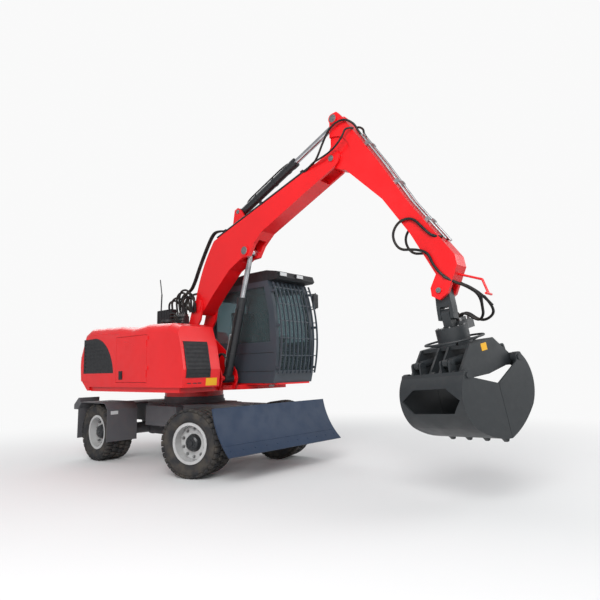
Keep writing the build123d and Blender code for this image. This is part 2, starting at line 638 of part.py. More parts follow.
def cab_section(by, y):
    """The cab's side outline, moved inwards, made solid between two values of Y."""
    with BuildSketch(Plane.XZ.offset(-y[1])) as outline:
        with BuildLine():
            Polyline(cab_outer[3], *cab_outer[4:], *cab_outer[:3])
            ThreePointArc(cab_outer[2], CAB_BOW, cab_outer[3])
        make_face()
        if by:
            offset(amount=-by, kind=Kind.INTERSECTION)
    return outline.sketch


def scaled_pane(points, by):
    """A window outline drawn in by a small gap."""
    mid_x = sum(p[0] for p in points) / len(points)
    mid_z = sum(p[1] for p in points) / len(points)
    return [(p[0] + by * (1 if p[0] < mid_x else -1), p[1] + by * (1 if p[1] < mid_z else -1)) for p in points]


with BuildPart() as cab_body:
    extrude(cab_section(0, CAB_Y), amount=CAB_Y[1] - CAB_Y[0])
    extrude(cab_section(CAB_WALL, (CAB_Y[0] + CAB_WALL, CAB_Y[1] - CAB_WALL)),
            amount=CAB_Y[1] - CAB_Y[0] - 2 * CAB_WALL, mode=Mode.SUBTRACT)
    plate(side_pane, (CAB_Y[0], CAB_Y[0] + CAB_WALL), mode=Mode.SUBTRACT)
    plate(door_line, (CAB_Y[1] - CAB_WALL, CAB_Y[1]), mode=Mode.SUBTRACT)
    for z in CAB_KNUCKLE_Z:
        hinge_leaf((DOOR_HINGE_X, CAB_Y[1] + 4), 1, -60, z)
    slab((1600, 2000), (CAB_Y[0] + 70, CAB_Y[1] - 70), (1560, 3000), mode=Mode.SUBTRACT)
    slab((CAB_X[0] - 10, CAB_X[0] + CAB_WALL + 10), (CAB_Y[0] + 90, CAB_Y[1] - 90), (2080, 2880),
         mode=Mode.SUBTRACT)
keep(cab_body.part, "cab_body")

with BuildPart() as cab_door:
    plate(scaled_pane(door_line, PANEL_GAP), (CAB_Y[1] - CAB_WALL, CAB_Y[1]))
    plate(door_pane, (CAB_Y[1] - CAB_WALL, CAB_Y[1]), mode=Mode.SUBTRACT)
    for z in CAB_KNUCKLE_Z:
        knuckle_notch((DOOR_HINGE_X, CAB_Y[1] + 4), z)
keep(cab_door.part, "cab_door")

with BuildPart() as door_glass:
    plate(scaled_pane(door_pane, SEAT_GAP), (CAB_Y[1] - 30, CAB_Y[1] - 24))
keep(door_glass.part, "door_glass")

with BuildPart() as cab_glass:
    plate(scaled_pane(side_pane, SEAT_GAP), (CAB_Y[0] + 24, CAB_Y[0] + 30))
    slab((CAB_X[0] + 24, CAB_X[0] + 30), (CAB_Y[0] + 90 + SEAT_GAP, CAB_Y[1] - 90 - SEAT_GAP),
         (2080 + SEAT_GAP, 2880 - SEAT_GAP))
keep(cab_glass.part, "cab_glass")

with BuildPart() as windscreen:
    pane = [(1900, 1500), CAB_BOW, (1760, CAB_Z[1])]
    with BuildSketch(Plane.XZ.offset(-(CAB_Y[1] - 70 - SEAT_GAP))):
        with BuildLine():
            ThreePointArc(*[(x - 22, z) for x, z in pane])
            ThreePointArc(*[(x - 28, z) for x, z in pane])
            Line((pane[0][0] - 22, pane[0][1]), (pane[0][0] - 28, pane[0][1]))
            Line((pane[2][0] - 22, pane[2][1]), (pane[2][0] - 28, pane[2][1]))
        make_face()
    extrude(amount=CAB_Y[1] - CAB_Y[0] - 140 - 2 * SEAT_GAP)
    slab((1500, 2100), CAB_Y, (1400, 1560 + SEAT_GAP), mode=Mode.SUBTRACT)
    slab((1500, 2100), CAB_Y, (3000 - SEAT_GAP, 3200), mode=Mode.SUBTRACT)
keep(windscreen.part, "windscreen")

roof_line = [(330, CAB_Z[1]), (1765, CAB_Z[1]), (1960, CAB_Z[1] + 4), (2000, 3125), (1960, 3225), (1720, 3270),
             (1250, 3270), (600, 3210), (380, 3160)]
with BuildPart() as cab_roof:
    plate(roof_line, (CAB_Y[0] + 10, CAB_Y[1] - 10))
keep(cab_roof.part, "cab_roof")

with BuildPart() as work_lamps:
    for y in (330, 750):
        slab((1900, 2012), (y - 95, y + 95), (3132, 3212))
    plate([(x, z + SEAT_GAP) for x, z in roof_line], CAB_Y, mode=Mode.SUBTRACT)
keep(work_lamps.part, "work_lamps")

GUARD_BARS = 10
GUARD_BOW = [(1975.0, 1500.0), (2060.0, 2050.0), (1880.0, 3050.0)]
GUARD_RAILS = (1540.0, 1800.0, 2090.0, 2380.0, 2670.0, 2960.0)
GUARD_STAYS = (1600.0, 2300.0, 2900.0)


def bow_x(z):
    """Place of the guard's bow in X at a height, on the circle through its three points."""
    (ax, az), (bx, bz), (cx, cz) = GUARD_BOW
    d = 2 * (ax * (bz - cz) + bx * (cz - az) + cx * (az - bz))
    a, b, c = ax * ax + az * az, bx * bx + bz * bz, cx * cx + cz * cz
    mid_x = (a * (bz - cz) + b * (cz - az) + c * (az - bz)) / d
    mid_z = (a * (cx - bx) + b * (ax - cx) + c * (bx - ax)) / d
    return mid_x + math.sqrt((ax - mid_x) ** 2 + (az - mid_z) ** 2 - (z - mid_z) ** 2)


with BuildPart() as front_guard:
    for i in range(GUARD_BARS):
        y = CAB_Y[0] + 20 + i * (CAB_Y[1] - CAB_Y[0] - 52) / (GUARD_BARS - 1)
        with BuildSketch(Plane.XZ.offset(-y - 12)) as strip:
            with BuildLine():
                ThreePointArc(*GUARD_BOW)
                ThreePointArc(*[(x - 34, z) for x, z in GUARD_BOW])
                Line(GUARD_BOW[0], (GUARD_BOW[0][0] - 34, GUARD_BOW[0][1]))
                Line(GUARD_BOW[2], (GUARD_BOW[2][0] - 34, GUARD_BOW[2][1]))
            make_face()
        extrude(strip.sketch, amount=12)
    for z in GUARD_RAILS:
        slab((bow_x(z) - 30, bow_x(z) - 14), (CAB_Y[0] + 8, CAB_Y[1] - 8), (z - 8, z + 8))
    for z in GUARD_STAYS:
        for y in (CAB_Y[0] + 8, CAB_Y[1] - 44):
            slab((bow_x(z) - 200, bow_x(z) - 20), (y, y + 36), (z - 20, z + 20))
    extrude(cab_section(-SEAT_GAP, CAB_Y), amount=CAB_Y[1] - CAB_Y[0], mode=Mode.SUBTRACT)
keep(front_guard.part, "front_guard")

with BuildPart() as cab_seat:
    slab((700, 1120), (490, 890), (CAB_Z[0] + CAB_WALL, 1750))
    slab((650, 1180), (440, 940), (1750, 1880))
    plate([(600, 1880), (760, 1880), (640, 2650), (520, 2650)], (450, 930))
keep(cab_seat.part, "cab_seat")

with BuildPart() as cab_controls:
    for y in (290, 1000):
        slab((700, 1250), (y, y + 100), (CAB_Z[0] + CAB_WALL, 2000))
        bar((1180, y + 50, 2000), (1210, y + 50, 2180), 22)
    slab((1550, 1690), (620, 760), (CAB_Z[0] + CAB_WALL, CAB_Z[0] + CAB_WALL + 30))
    bar((1620, 690, CAB_Z[0] + CAB_WALL + 10), (1510, 690, 2080), 40)
    with Locations(Location((1510, 690, 2080), (0, -20, 0))):
        Cylinder(190, 28)
keep(cab_controls.part, "cab_controls")

with BuildPart() as cab_foot:
    plan([(250, 215), (1650, 215), (1890, 300), (1890, 1080), (1800, 1155), (250, 1155)],
         (DECK_Z[1], CAB_Z[0]))
keep(cab_foot.part, "cab_foot")

# Boom: a cranked box with its foot boss, a slot for the lift rod's eye and a forked tip

BOOM_Y = (ARM_Y - BOOM_HALF, ARM_Y + BOOM_HALF)
NECK_R = 330.0
FORK_R = 360.0
with BuildPart() as boom:
    with BuildSketch(Plane.XZ.offset(-BOOM_Y[1])):
        with BuildLine():
            ThreePointArc((390, 2720), (590, 3310), (930, 3840))
            Polyline((930, 3840), (3545, 4665), (3715, 4540), (3600, 4420), (2140, 3780), (1940, 3610),
                     (1820, 3430), (1650, 3420), (1330, 3260), (900, 2880), (650, 2630), (390, 2720))
        make_face()
        with Locations(BOOM_FOOT):
            Circle(135)
        with Locations(STICK_PIN):
            Circle(135)
    extrude(amount=2 * BOOM_HALF)
    cross_pin(BOOM_FOOT, BOOM_PIN_R + RUN_FIT, BOOM_Y, mode=Mode.SUBTRACT)
    # slot for the eye of the lift rod, with stub pins at its sides
    plate([(1560, 3300), (1500, 3850), (2010, 3880), (2010, 3300)], (ARM_Y - 80, ARM_Y + 80),
          mode=Mode.SUBTRACT)
    for side in (-1, 1):
        cross_pin(LIFT_PIN, 85, sorted((ARM_Y + side * BOOM_HALF, ARM_Y + side * (BOOM_HALF + 18))))
    # fork for the stick
    cross_pin(STICK_PIN, FORK_R, (ARM_Y - STICK_NECK_HALF - SIDE_GAP, ARM_Y + STICK_NECK_HALF + SIDE_GAP),
              mode=Mode.SUBTRACT)
    cross_pin(STICK_PIN, 48, (BOOM_Y[0] - 14, BOOM_Y[1] + 14))
    # lugs for the stick cylinder's foot
    for side in (-1, 1):
        plate([(1380, 3975), (1440, 4290), (1520, 4320), (1590, 4270), (1720, 4085)],
              sorted((ARM_Y + side * 75, ARM_Y + side * 105)))
    cross_pin(STICK_CYL_FOOT, 40, (ARM_Y - 105, ARM_Y + 105))
keep(boom.part, "boom")

STICK_Y = (ARM_Y - STICK_HALF, ARM_Y + STICK_HALF)
HOSE_GUIDE = [(5290, 2660), (5610, 2545), (5672, 2370)]
PIPE_R = 15.0
STICK_FACE = [(3990, 4858), (4380, 4280), (4770, 3650), (5205, 3065)]
BOOM_FACE = [(1010, 3865), (3250, 4572)]
with BuildPart() as stick:
    plate([(3690, 5260), (3820, 5110), (4380, 4280), (4770, 3650), (5350, 2870), (5375, 2740), (5240, 2420),
           (5130, 2345), (5030, 2400), (5020, 2500), (5100, 2660), (4780, 3230), (4400, 3770), (3820, 4340),
           (3640, 4420), (3470, 4500), (3450, 4600), (3550, 4770), (3560, 5160), (3610, 5255)], STICK_Y)
    for y in ((STICK_Y[0], ARM_Y - STICK_NECK_HALF), (ARM_Y + STICK_NECK_HALF, STICK_Y[1])):
        cross_pin(STICK_PIN, NECK_R, y, mode=Mode.SUBTRACT)
    cross_pin(STICK_PIN, 48 + RUN_FIT, STICK_Y, mode=Mode.SUBTRACT)
    # slot for the eye of the stick cylinder's rod
    plate([(3400, 4985), (3400, 5400), (3850, 5400), (3750, 4985)], (ARM_Y - 65, ARM_Y + 65),
          mode=Mode.SUBTRACT)
    for side in (-1, 1):
        cross_pin(STICK_CYL_EYE, 75, sorted((ARM_Y + side * STICK_HALF, ARM_Y + side * (STICK_HALF + 16))))
    # forked tip for the link
    plate([(4950, 2250), (5010, 2640), (5250, 2640), (5400, 2250)], (ARM_Y - 76, ARM_Y + 76),
          mode=Mode.SUBTRACT)
    cross_pin(TIP_PIN, TIP_PIN_R, (STICK_Y[0] - 16, STICK_Y[1] + 16))
    # bent bar that holds the hoses of the grab clear
    for start, end in zip(HOSE_GUIDE, HOSE_GUIDE[1:]):
        bar(at(start, ARM_Y), at(end, ARM_Y), 14)
    bar(at(HOSE_GUIDE[-1], ARM_Y - 80), at(HOSE_GUIDE[-1], ARM_Y + 80), 14)
keep(stick.part, "stick")

# Steel pipes along the outer face of the stick and the top of the boom, on clamps


def pipe_run(faces, lift, y, clamps):
    """Pipe of a row of straight lengths above a face, with clamps that stand on the face."""
    line = []
    for before, here, after in zip(faces[:1] + faces, faces, faces[1:] + faces[-1:]):
        length = math.dist(before, after)
        out = ((before[1] - after[1]) / length, (after[0] - before[0]) / length)
        line.append((here[0] + out[0] * lift, here[1] + out[1] * lift))
    for start, end in zip(line, line[1:]):
        bar(at(start, y), at(end, y), PIPE_R)
    for here in line[1:-1]:
        with Locations(at(here, y)):
            Sphere(PIPE_R)
    for i, share in clamps:
        (ax, az), (bx, bz) = faces[i], faces[i + 1]
        length = math.dist(faces[i], faces[i + 1])
        along_face = ((bx - ax) / length, (bz - az) / length)
        out = (-along_face[1], along_face[0])
        mid = (ax + (bx - ax) * share, az + (bz - az) * share)
        corners = []
        for step, rise in ((-28, SEAT_GAP), (28, SEAT_GAP), (28, lift + PIPE_R + 8), (-28, lift + PIPE_R + 8)):
            corners.append((mid[0] + along_face[0] * step + out[0] * rise,
                            mid[1] + along_face[1] * step + out[1] * rise))
        plate(corners, (y - PIPE_R - 10, y + PIPE_R + 10))


with BuildPart() as stick_pipes:
    for y in (ARM_Y - 70, ARM_Y + 70):
        pipe_run(STICK_FACE, 34, y, ((0, 0.4), (1, 0.5), (2, 0.5)))
keep(stick_pipes.part, "stick_pipes")

with BuildPart() as boom_pipes:
    for y in (ARM_Y - 126, ARM_Y + 126):
        pipe_run(BOOM_FACE, 30, y, ((0, 0.1), (0, 0.5), (0, 0.9)))
keep(boom_pipes.part, "boom_pipes")

with BuildPart() as lift_barrel:
    barrel(LIFT_FOOT, LIFT_PIN, LIFT_BARREL, LIFT_R, LIFT_ROD_R, ARM_Y, 75, 45, 90)
keep(lift_barrel.part, "lift_cylinder_barrel")

with BuildPart() as lift_rod:
    piston_rod(LIFT_FOOT, LIFT_PIN, LIFT_BARREL - 600, LIFT_ROD_R, ARM_Y, 75, 70)
keep(lift_rod.part, "lift_cylinder_rod")

with BuildPart() as stick_barrel:
    barrel(STICK_CYL_FOOT, STICK_CYL_EYE, STICK_BARREL, STICK_CYL_R, STICK_ROD_R, ARM_Y, 66, 40, 60)
keep(stick_barrel.part, "stick_cylinder_barrel")

with BuildPart() as stick_rod:
    piston_rod(STICK_CYL_FOOT, STICK_CYL_EYE, STICK_BARREL - 400, STICK_ROD_R, ARM_Y, 64, 55)
keep(stick_rod.part, "stick_cylinder_rod")

# Hanging group: made about the tip pin with its axis upright, then leant and turned to its place

HANG = Location((TIP_PIN[0], ARM_Y, TIP_PIN[1]), (0, -LINK_LEAN, 0))
SWING = HANG * Location((0, 0, -CROSS_DROP), (CROSS_LEAN, 0, 0)) * Location((0, 0, CROSS_DROP))
GRAB = SWING * Location((0, 0, 0), (0, 0, GRAB_YAW))

with BuildPart() as grab_link:
    plate([(-85, 60), (-40, 85), (40, 85), (85, 60), (100, -200), (100, -CROSS_DROP - 60),
           (-100, -CROSS_DROP - 60), (-100, -200)], (-70, 70))
    cross_pin((0, 0), TIP_PIN_R + RUN_FIT, (-70, 70), mode=Mode.SUBTRACT)
    slab((-58, 58), (-70, 70), (-CROSS_DROP - 60, -CROSS_DROP + 95), mode=Mode.SUBTRACT)
    bar((-100, 0, -CROSS_DROP), (100, 0, -CROSS_DROP), CROSS_R)
keep(grab_link.part, "grab_link", HANG)

with BuildPart() as rotator:
    slab((-52, 52), (-75, 75), (-ROTATOR_DROP, -CROSS_DROP))
    bar((-52, 0, -CROSS_DROP), (52, 0, -CROSS_DROP), 75)
    bar((-52, 0, -CROSS_DROP), (52, 0, -CROSS_DROP), CROSS_R + RUN_FIT, mode=Mode.SUBTRACT)
    with Locations((0, 0, -ROTATOR_DROP - ROTATOR_H / 2)):
        Cylinder(ROTATOR_R, ROTATOR_H)
    # motor block that stands out to the side, with its valve above
    slab((-90, 90), (60, 500), (-ROTATOR_DROP - 70, -ROTATOR_DROP + 40))
    slab((-60, 60), (60, 360), (-ROTATOR_DROP - 140, -ROTATOR_DROP - 60))
    slab((-45, 45), (250, 400), (-ROTATOR_DROP + 39, -ROTATOR_DROP + 85))
keep(rotator.part, "rotator", SWING)

# Hinge of the shells: their knuckles stand between the ribs of the frame, on one long pin a side

KNUCKLES = 7
SHELL_KNUCKLE_W = 70.0
SHELL_KNUCKLE_R = 62.0
knuckle_pitch = (SHELL_W - SHELL_KNUCKLE_W) / (KNUCKLES - 1)
RIB_T = 30.0
RIB_BOSS_R = 41.0
END_X = SHELL_W / 2
rib_line = [(0, -FRAME_DROP - 30), (215, -FRAME_DROP - 30), (335, -FRAME_DROP - 150),
            (470, -SHELL_PIN_DROP + 40), (470, -SHELL_PIN_DROP - 40),
            (430, -SHELL_PIN_DROP - 55), (0, -SHELL_PIN_DROP - 88)]
with BuildPart() as grab_frame:
    with Locations((0, 0, -FRAME_DROP - 20)):
        Cylinder(ROTATOR_R + 20, 40)
    slab((-2.5 * knuckle_pitch, 2.5 * knuckle_pitch), (-210, 210), (-FRAME_DROP - 70, -FRAME_DROP - 30))
    for step in (-2.5, -0.5, 0.5, 2.5):
        x = (step * knuckle_pitch - RIB_T / 2, step * knuckle_pitch + RIB_T / 2)
        section(rib_line + [(-y, z) for y, z in rib_line[-2:0:-1]], x)
        for y in (-SHELL_PIN_Y, SHELL_PIN_Y):
            bar((x[0], y, -SHELL_PIN_DROP), (x[1], y, -SHELL_PIN_DROP), RIB_BOSS_R)
    for y in (-SHELL_PIN_Y, SHELL_PIN_Y):
        bar((-END_X - 14, y, -SHELL_PIN_DROP), (END_X + 14, y, -SHELL_PIN_DROP), SHELL_PIN_R)
keep(grab_frame.part, "grab_frame", GRAB)

# One shell of the grab, on the left; the other is its mirror image. Places are (Y, Z) from the tip pin.

CLOSER_X = (-1.5 * knuckle_pitch, 1.5 * knuckle_pitch)
CLOSER_EAR = (-470.0, -800.0)
CLOSER_R = 44.0
CLOSER_ROD_R = 26.0
CLOSER_BARREL = 520.0
CLOSER_PIN_R = 20.0
CHEEK_T = 22.0
TEETH = 4
TOOTH_PITCH = 252.0
SEAM = 6.0
lip = (-SEAM / 2, -SHELL_LOW_DROP)
heel = (-530.0, -1520.0)
shoulder = (-545.0, -930.0)
end_top = [(-525, -893), (-440, -890), (-410, -985), (-SEAM / 2, -1145)]
floor_bow = (-290.0, -1674.0)
back_bow = (-655.0, -1230.0)
WINDOW = [(-240, -1050), (240, -1050), (425, -1175), (300, -1325), (-300, -1325), (-425, -1175)]


def shell_outline(by, top):
    """End view of the shell, from lip to shoulder, drawn in by a wall and closed through other points."""
    low = (lip[0], lip[1] + 2.2 * by)
    turn = (heel[0] + 0.72 * by, heel[1] + 0.72 * by)
    high = (shoulder[0] + by, shoulder[1] - 0.5 * by)
    with BuildSketch(Plane.YZ.offset(-END_X + by)) as view:
        with BuildLine():
            ThreePointArc(low, (floor_bow[0] + 0.3 * by, floor_bow[1] + by), turn)
            ThreePointArc(turn, (back_bow[0] + by, back_bow[1]), high)
            Polyline(high, *top, low)
        make_face()
    return view.sketch


with BuildPart() as shell_left:
    extrude(shell_outline(0, end_top), amount=SHELL_W)
    extrude(shell_outline(SHELL_T, [(-525, -700), (60, -700), (60, -1720)]), amount=SHELL_W - 2 * SHELL_T,
            mode=Mode.SUBTRACT)
    plate(WINDOW, (-720, -540), mode=Mode.SUBTRACT)
    for i in range(KNUCKLES):
        x = -END_X + i * knuckle_pitch
        bar((x, -SHELL_PIN_Y, -SHELL_PIN_DROP), (x + SHELL_KNUCKLE_W, -SHELL_PIN_Y, -SHELL_PIN_DROP),
            SHELL_KNUCKLE_R)
    # upright cheeks that carry the closing cylinders
    for x in CLOSER_X:
        for inner_x in (x - 50 - CHEEK_T, x + 50):
            section([(-540, -960), (-420, -960), (-425, -785), (-445, -765), (-495, -765), (-515, -785)],
                    (inner_x, inner_x + CHEEK_T))
    bar((-END_X - 5, -SHELL_PIN_Y, -SHELL_PIN_DROP), (END_X + 5, -SHELL_PIN_Y, -SHELL_PIN_DROP),
        SHELL_PIN_R + RUN_FIT, mode=Mode.SUBTRACT)
    bar((-END_X, *CLOSER_EAR), (END_X, *CLOSER_EAR), CLOSER_PIN_R + RUN_FIT, mode=Mode.SUBTRACT)
    # teeth along the cutting edge
    for i in range(TEETH):
        x = (i - (TEETH - 1) / 2) * TOOTH_PITCH
        section([(-SEAM / 2, -SHELL_LOW_DROP - TOOTH), (-SEAM / 2 - 12, -SHELL_LOW_DROP - TOOTH),
                 (-70, -SHELL_LOW_DROP + 26), (-SEAM / 2, -SHELL_LOW_DROP + 40)],
                (x - TOOTH / 2, x + TOOTH / 2))
keep(shell_left.part, "shell_left", GRAB)

with BuildPart() as shell_right:
    mirror(shell_left.part, about=Plane.XZ)
keep(shell_right.part, "shell_right", GRAB)

# Closing cylinders, level between the cheeks of the two shells

with BuildPart() as closer_barrels:
    for x in CLOSER_X:
        bar((x, CLOSER_EAR[0] + 30, CLOSER_EAR[1]), (x, CLOSER_EAR[0] + CLOSER_BARREL, CLOSER_EAR[1]),
            CLOSER_R)
        bar((x - 34, *CLOSER_EAR), (x + 34, *CLOSER_EAR), 42)
        bar((x - 80, *CLOSER_EAR), (x + 80, *CLOSER_EAR), CLOSER_PIN_R)
        bar((x, CLOSER_EAR[0] + 90, CLOSER_EAR[1]), (x, CLOSER_EAR[0] + CLOSER_BARREL + 5, CLOSER_EAR[1]),
            CLOSER_ROD_R + SEAT_GAP, mode=Mode.SUBTRACT)
keep(closer_barrels.part, "grab_cylinder_barrels", GRAB)

with BuildPart() as closer_rods:
    for x in CLOSER_X:
        bar((x, CLOSER_EAR[0] + 390, CLOSER_EAR[1]), (x, -CLOSER_EAR[0] - 25, CLOSER_EAR[1]), CLOSER_ROD_R)
        bar((x - 30, -CLOSER_EAR[0], CLOSER_EAR[1]), (x + 30, -CLOSER_EAR[0], CLOSER_EAR[1]), 38)
keep(closer_rods.part, "grab_cylinder_rods", GRAB)
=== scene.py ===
import json
import math

import bmesh
import bpy
from mathutils import Matrix, Vector


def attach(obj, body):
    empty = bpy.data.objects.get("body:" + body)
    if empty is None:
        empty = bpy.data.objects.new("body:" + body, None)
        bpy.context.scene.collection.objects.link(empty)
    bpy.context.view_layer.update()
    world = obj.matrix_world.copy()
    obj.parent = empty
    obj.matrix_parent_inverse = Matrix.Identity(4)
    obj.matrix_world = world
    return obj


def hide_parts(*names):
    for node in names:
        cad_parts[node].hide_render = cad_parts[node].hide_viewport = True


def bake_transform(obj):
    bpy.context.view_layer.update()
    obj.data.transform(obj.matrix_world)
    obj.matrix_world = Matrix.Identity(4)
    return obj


# Looks of a wheeled excavator with a clamshell grab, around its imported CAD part.
# Metres and radians. Places are written in the machine's own axes: X forward, Y left, Z up,
# zero on the ground under the slew axis. ORIGIN carries them to the part's frame.

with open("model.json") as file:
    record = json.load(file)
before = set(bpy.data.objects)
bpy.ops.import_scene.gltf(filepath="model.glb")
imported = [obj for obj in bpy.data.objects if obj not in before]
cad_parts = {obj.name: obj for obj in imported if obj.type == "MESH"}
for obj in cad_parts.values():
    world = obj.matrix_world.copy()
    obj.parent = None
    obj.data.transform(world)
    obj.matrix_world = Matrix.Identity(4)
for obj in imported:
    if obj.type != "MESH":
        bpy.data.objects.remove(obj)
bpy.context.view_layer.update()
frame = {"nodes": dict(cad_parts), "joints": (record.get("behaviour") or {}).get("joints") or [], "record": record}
joints = {j["name"]: j for j in frame["joints"]}
ORIGIN = Vector((joints["slew"]["pos_m"][0], joints["slew"]["pos_m"][1], 0.0))


def place(x, y, z):
    """A point of the machine in the part's frame."""
    return ORIGIN + Vector((x, y, z))


# Materials


def srgb(*values):
    """Linear colour of three 8-bit sRGB values."""
    linear = [c / 255 / 12.92 if c <= 10 else ((c / 255 + 0.055) / 1.055) ** 2.4 for c in values]
    return (*linear, 1.0)


def darker(colour, share):
    """A colour at a share of its brightness."""
    return (*(c * share for c in colour[:3]), 1.0)


DUST = srgb(138, 124, 104)
BARE_STEEL = srgb(112, 108, 102)


class Shader:
    """A Principled material with helpers that add procedural texture to it."""

    def __init__(self, name):
        self.material = bpy.data.materials.new(name)
        self.material.use_nodes = True
        self.tree = self.material.node_tree
        self.bsdf = self.tree.nodes["Principled BSDF"]
        self.coords = self.tree.nodes.new("ShaderNodeTexCoord")

    def set(self, **values):
        for name, value in values.items():
            self.bsdf.inputs[name.replace("_", " ").title().replace("Ior", "IOR")].default_value = value

    def link(self, output, target):
        self.tree.links.new(output, target)

    def noise(self, scale, detail=4.0, stretch=None):
        """Noise in the piece's own space; stretch lengthens it along an axis."""
        node = self.tree.nodes.new("ShaderNodeTexNoise")
        node.inputs["Scale"].default_value = scale
        node.inputs["Detail"].default_value = detail
        source = self.coords.outputs["Object"]
        if stretch:
            mapping = self.tree.nodes.new("ShaderNodeMapping")
            mapping.inputs["Scale"].default_value = stretch
            self.link(source, mapping.inputs["Vector"])
            source = mapping.outputs["Vector"]
        self.link(source, node.inputs["Vector"])
        return node.outputs["Fac"]

    def ramp(self, factor, low, high, low_value=0.0, high_value=1.0):
        """A factor carried smoothly from one range to another."""
        node = self.tree.nodes.new("ShaderNodeMapRange")
        node.interpolation_type = "SMOOTHSTEP"
        limits = {"From Min": low, "From Max": high, "To Min": low_value, "To Max": high_value}
        for name, value in limits.items():
            node.inputs[name].default_value = value
        self.link(factor, node.inputs["Value"])
        return node.outputs["Result"]

    def math(self, operation, a, b):
        node = self.tree.nodes.new("ShaderNodeMath")
        node.operation = operation
        node.use_clamp = True
        for socket, value in zip(node.inputs, (a, b)):
            if isinstance(value, (int, float)):
                socket.default_value = value
            else:
                self.link(value, socket)
        return node.outputs["Value"]

    def mix(self, factor, a, b):
        """Blend of two colours."""
        node = self.tree.nodes.new("ShaderNodeMix")
        node.data_type = "RGBA"
        self.link(factor, node.inputs["Factor"])
        for name, value in (("A", a), ("B", b)):
            socket = next(s for s in node.inputs if s.name == name and s.type == "RGBA")
            if isinstance(value, tuple):
                socket.default_value = value
            else:
                self.link(value, socket)
        return next(s for s in node.outputs if s.type == "RGBA")

    def upward(self):
        """1 on faces that look up, 0 on upright ones."""
        geometry = self.tree.nodes.new("ShaderNodeNewGeometry")
        split = self.tree.nodes.new("ShaderNodeSeparateXYZ")
        self.link(geometry.outputs["Normal"], split.inputs["Vector"])
        return self.ramp(split.outputs["Z"], 0.2, 0.95)

    def height(self, low, high):
        """1 at and below low, 0 at and above high, in the part's frame."""
        split = self.tree.nodes.new("ShaderNodeSeparateXYZ")
        self.link(self.coords.outputs["Object"], split.inputs["Vector"])
        return self.ramp(split.outputs["Z"], low, high, 1.0, 0.0)

    def colour(self, output):
        self.link(output, self.bsdf.inputs["Base Color"])

    def roughness(self, output):
        self.link(output, self.bsdf.inputs["Roughness"])

    def bump(self, output, strength, distance):
        node = self.tree.nodes.new("ShaderNodeBump")
        node.inputs["Strength"].default_value = strength
        node.inputs["Distance"].default_value = distance
        self.link(output, node.inputs["Height"])
        self.link(node.outputs["Normal"], self.bsdf.inputs["Normal"])


def paint(name, colour, rough=0.35, coat=0.0, dust=0.25, low_dust=0.0, wear=0.0):
    """Painted metal: uneven tone, dust on what looks up and low down, worn spots."""
    s = Shader(name)
    s.set(metallic=0.0, coat_weight=coat, coat_roughness=0.15)
    tone = s.mix(s.ramp(s.noise(0.9, 3), 0.3, 0.75), colour, darker(colour, 0.9))
    cloud = s.ramp(s.noise(5.5, 7), 0.38, 0.72)
    streak = s.ramp(s.noise(9.0, 4, (3.0, 3.0, 0.22)), 0.52, 0.75)
    amount = s.math("MULTIPLY", s.upward(), dust)
    if low_dust:
        amount = s.math("ADD", amount, s.math("MULTIPLY", s.height(0.1, 1.5), low_dust))
    amount = s.math("ADD", s.math("MULTIPLY", amount, cloud), s.math("MULTIPLY", streak, dust * 0.12))
    dusty = s.mix(amount, tone, DUST)
    if wear:
        worn = s.math("MULTIPLY", s.ramp(s.noise(14.0, 8), 0.5, 0.68), wear)
        dusty = s.mix(worn, dusty, BARE_STEEL)
    s.colour(dusty)
    s.roughness(s.ramp(s.noise(5.0, 2), 0.3, 0.75, rough - 0.04, rough + 0.1))
    s.bump(s.noise(14.0, 1), 0.02, 0.002)
    return s.material


def rubber(name, colour, dust, rough=0.82):
    s = Shader(name)
    s.set(metallic=0.0, specular_ior_level=0.3)
    cloud = s.ramp(s.noise(7.0, 7), 0.35, 0.7)
    s.colour(s.mix(s.math("MULTIPLY", cloud, dust), colour, DUST))
    s.roughness(s.ramp(s.noise(16.0, 4), 0.3, 0.7, rough - 0.1, rough + 0.1))
    s.bump(s.noise(90.0, 4), 0.25, 0.003)
    return s.material


def plastic(name, colour, rough=0.55, dust=0.2):
    s = Shader(name)
    s.set(metallic=0.0)
    cloud = s.ramp(s.noise(6.0, 6), 0.4, 0.75)
    amount = s.math("MULTIPLY", cloud, s.math("MULTIPLY", s.upward(), dust))
    s.colour(s.mix(amount, colour, DUST))
    s.roughness(s.ramp(s.noise(20.0, 4), 0.3, 0.7, rough - 0.08, rough + 0.1))
    s.bump(s.noise(160.0, 2), 0.1, 0.001)
    return s.material


def metal(name, colour, rough=0.2):
    s = Shader(name)
    s.set(metallic=1.0)
    s.colour(s.mix(s.ramp(s.noise(6.0, 6), 0.4, 0.75), colour, darker(colour, 0.7)))
    s.roughness(s.ramp(s.noise(25.0, 4), 0.3, 0.75, rough - 0.05, rough + 0.12))
    s.bump(s.noise(120.0, 3), 0.06, 0.001)
    return s.material


def window(name, tint):
    s = Shader(name)
    s.set(base_color=tint, metallic=0.0, transmission_weight=0.9, ior=1.1)
    s.roughness(s.ramp(s.noise(3.0, 6), 0.35, 0.8, 0.0, 0.05))
    s.bump(s.noise(0.8, 1), 0.02, 0.002)
    return s.material


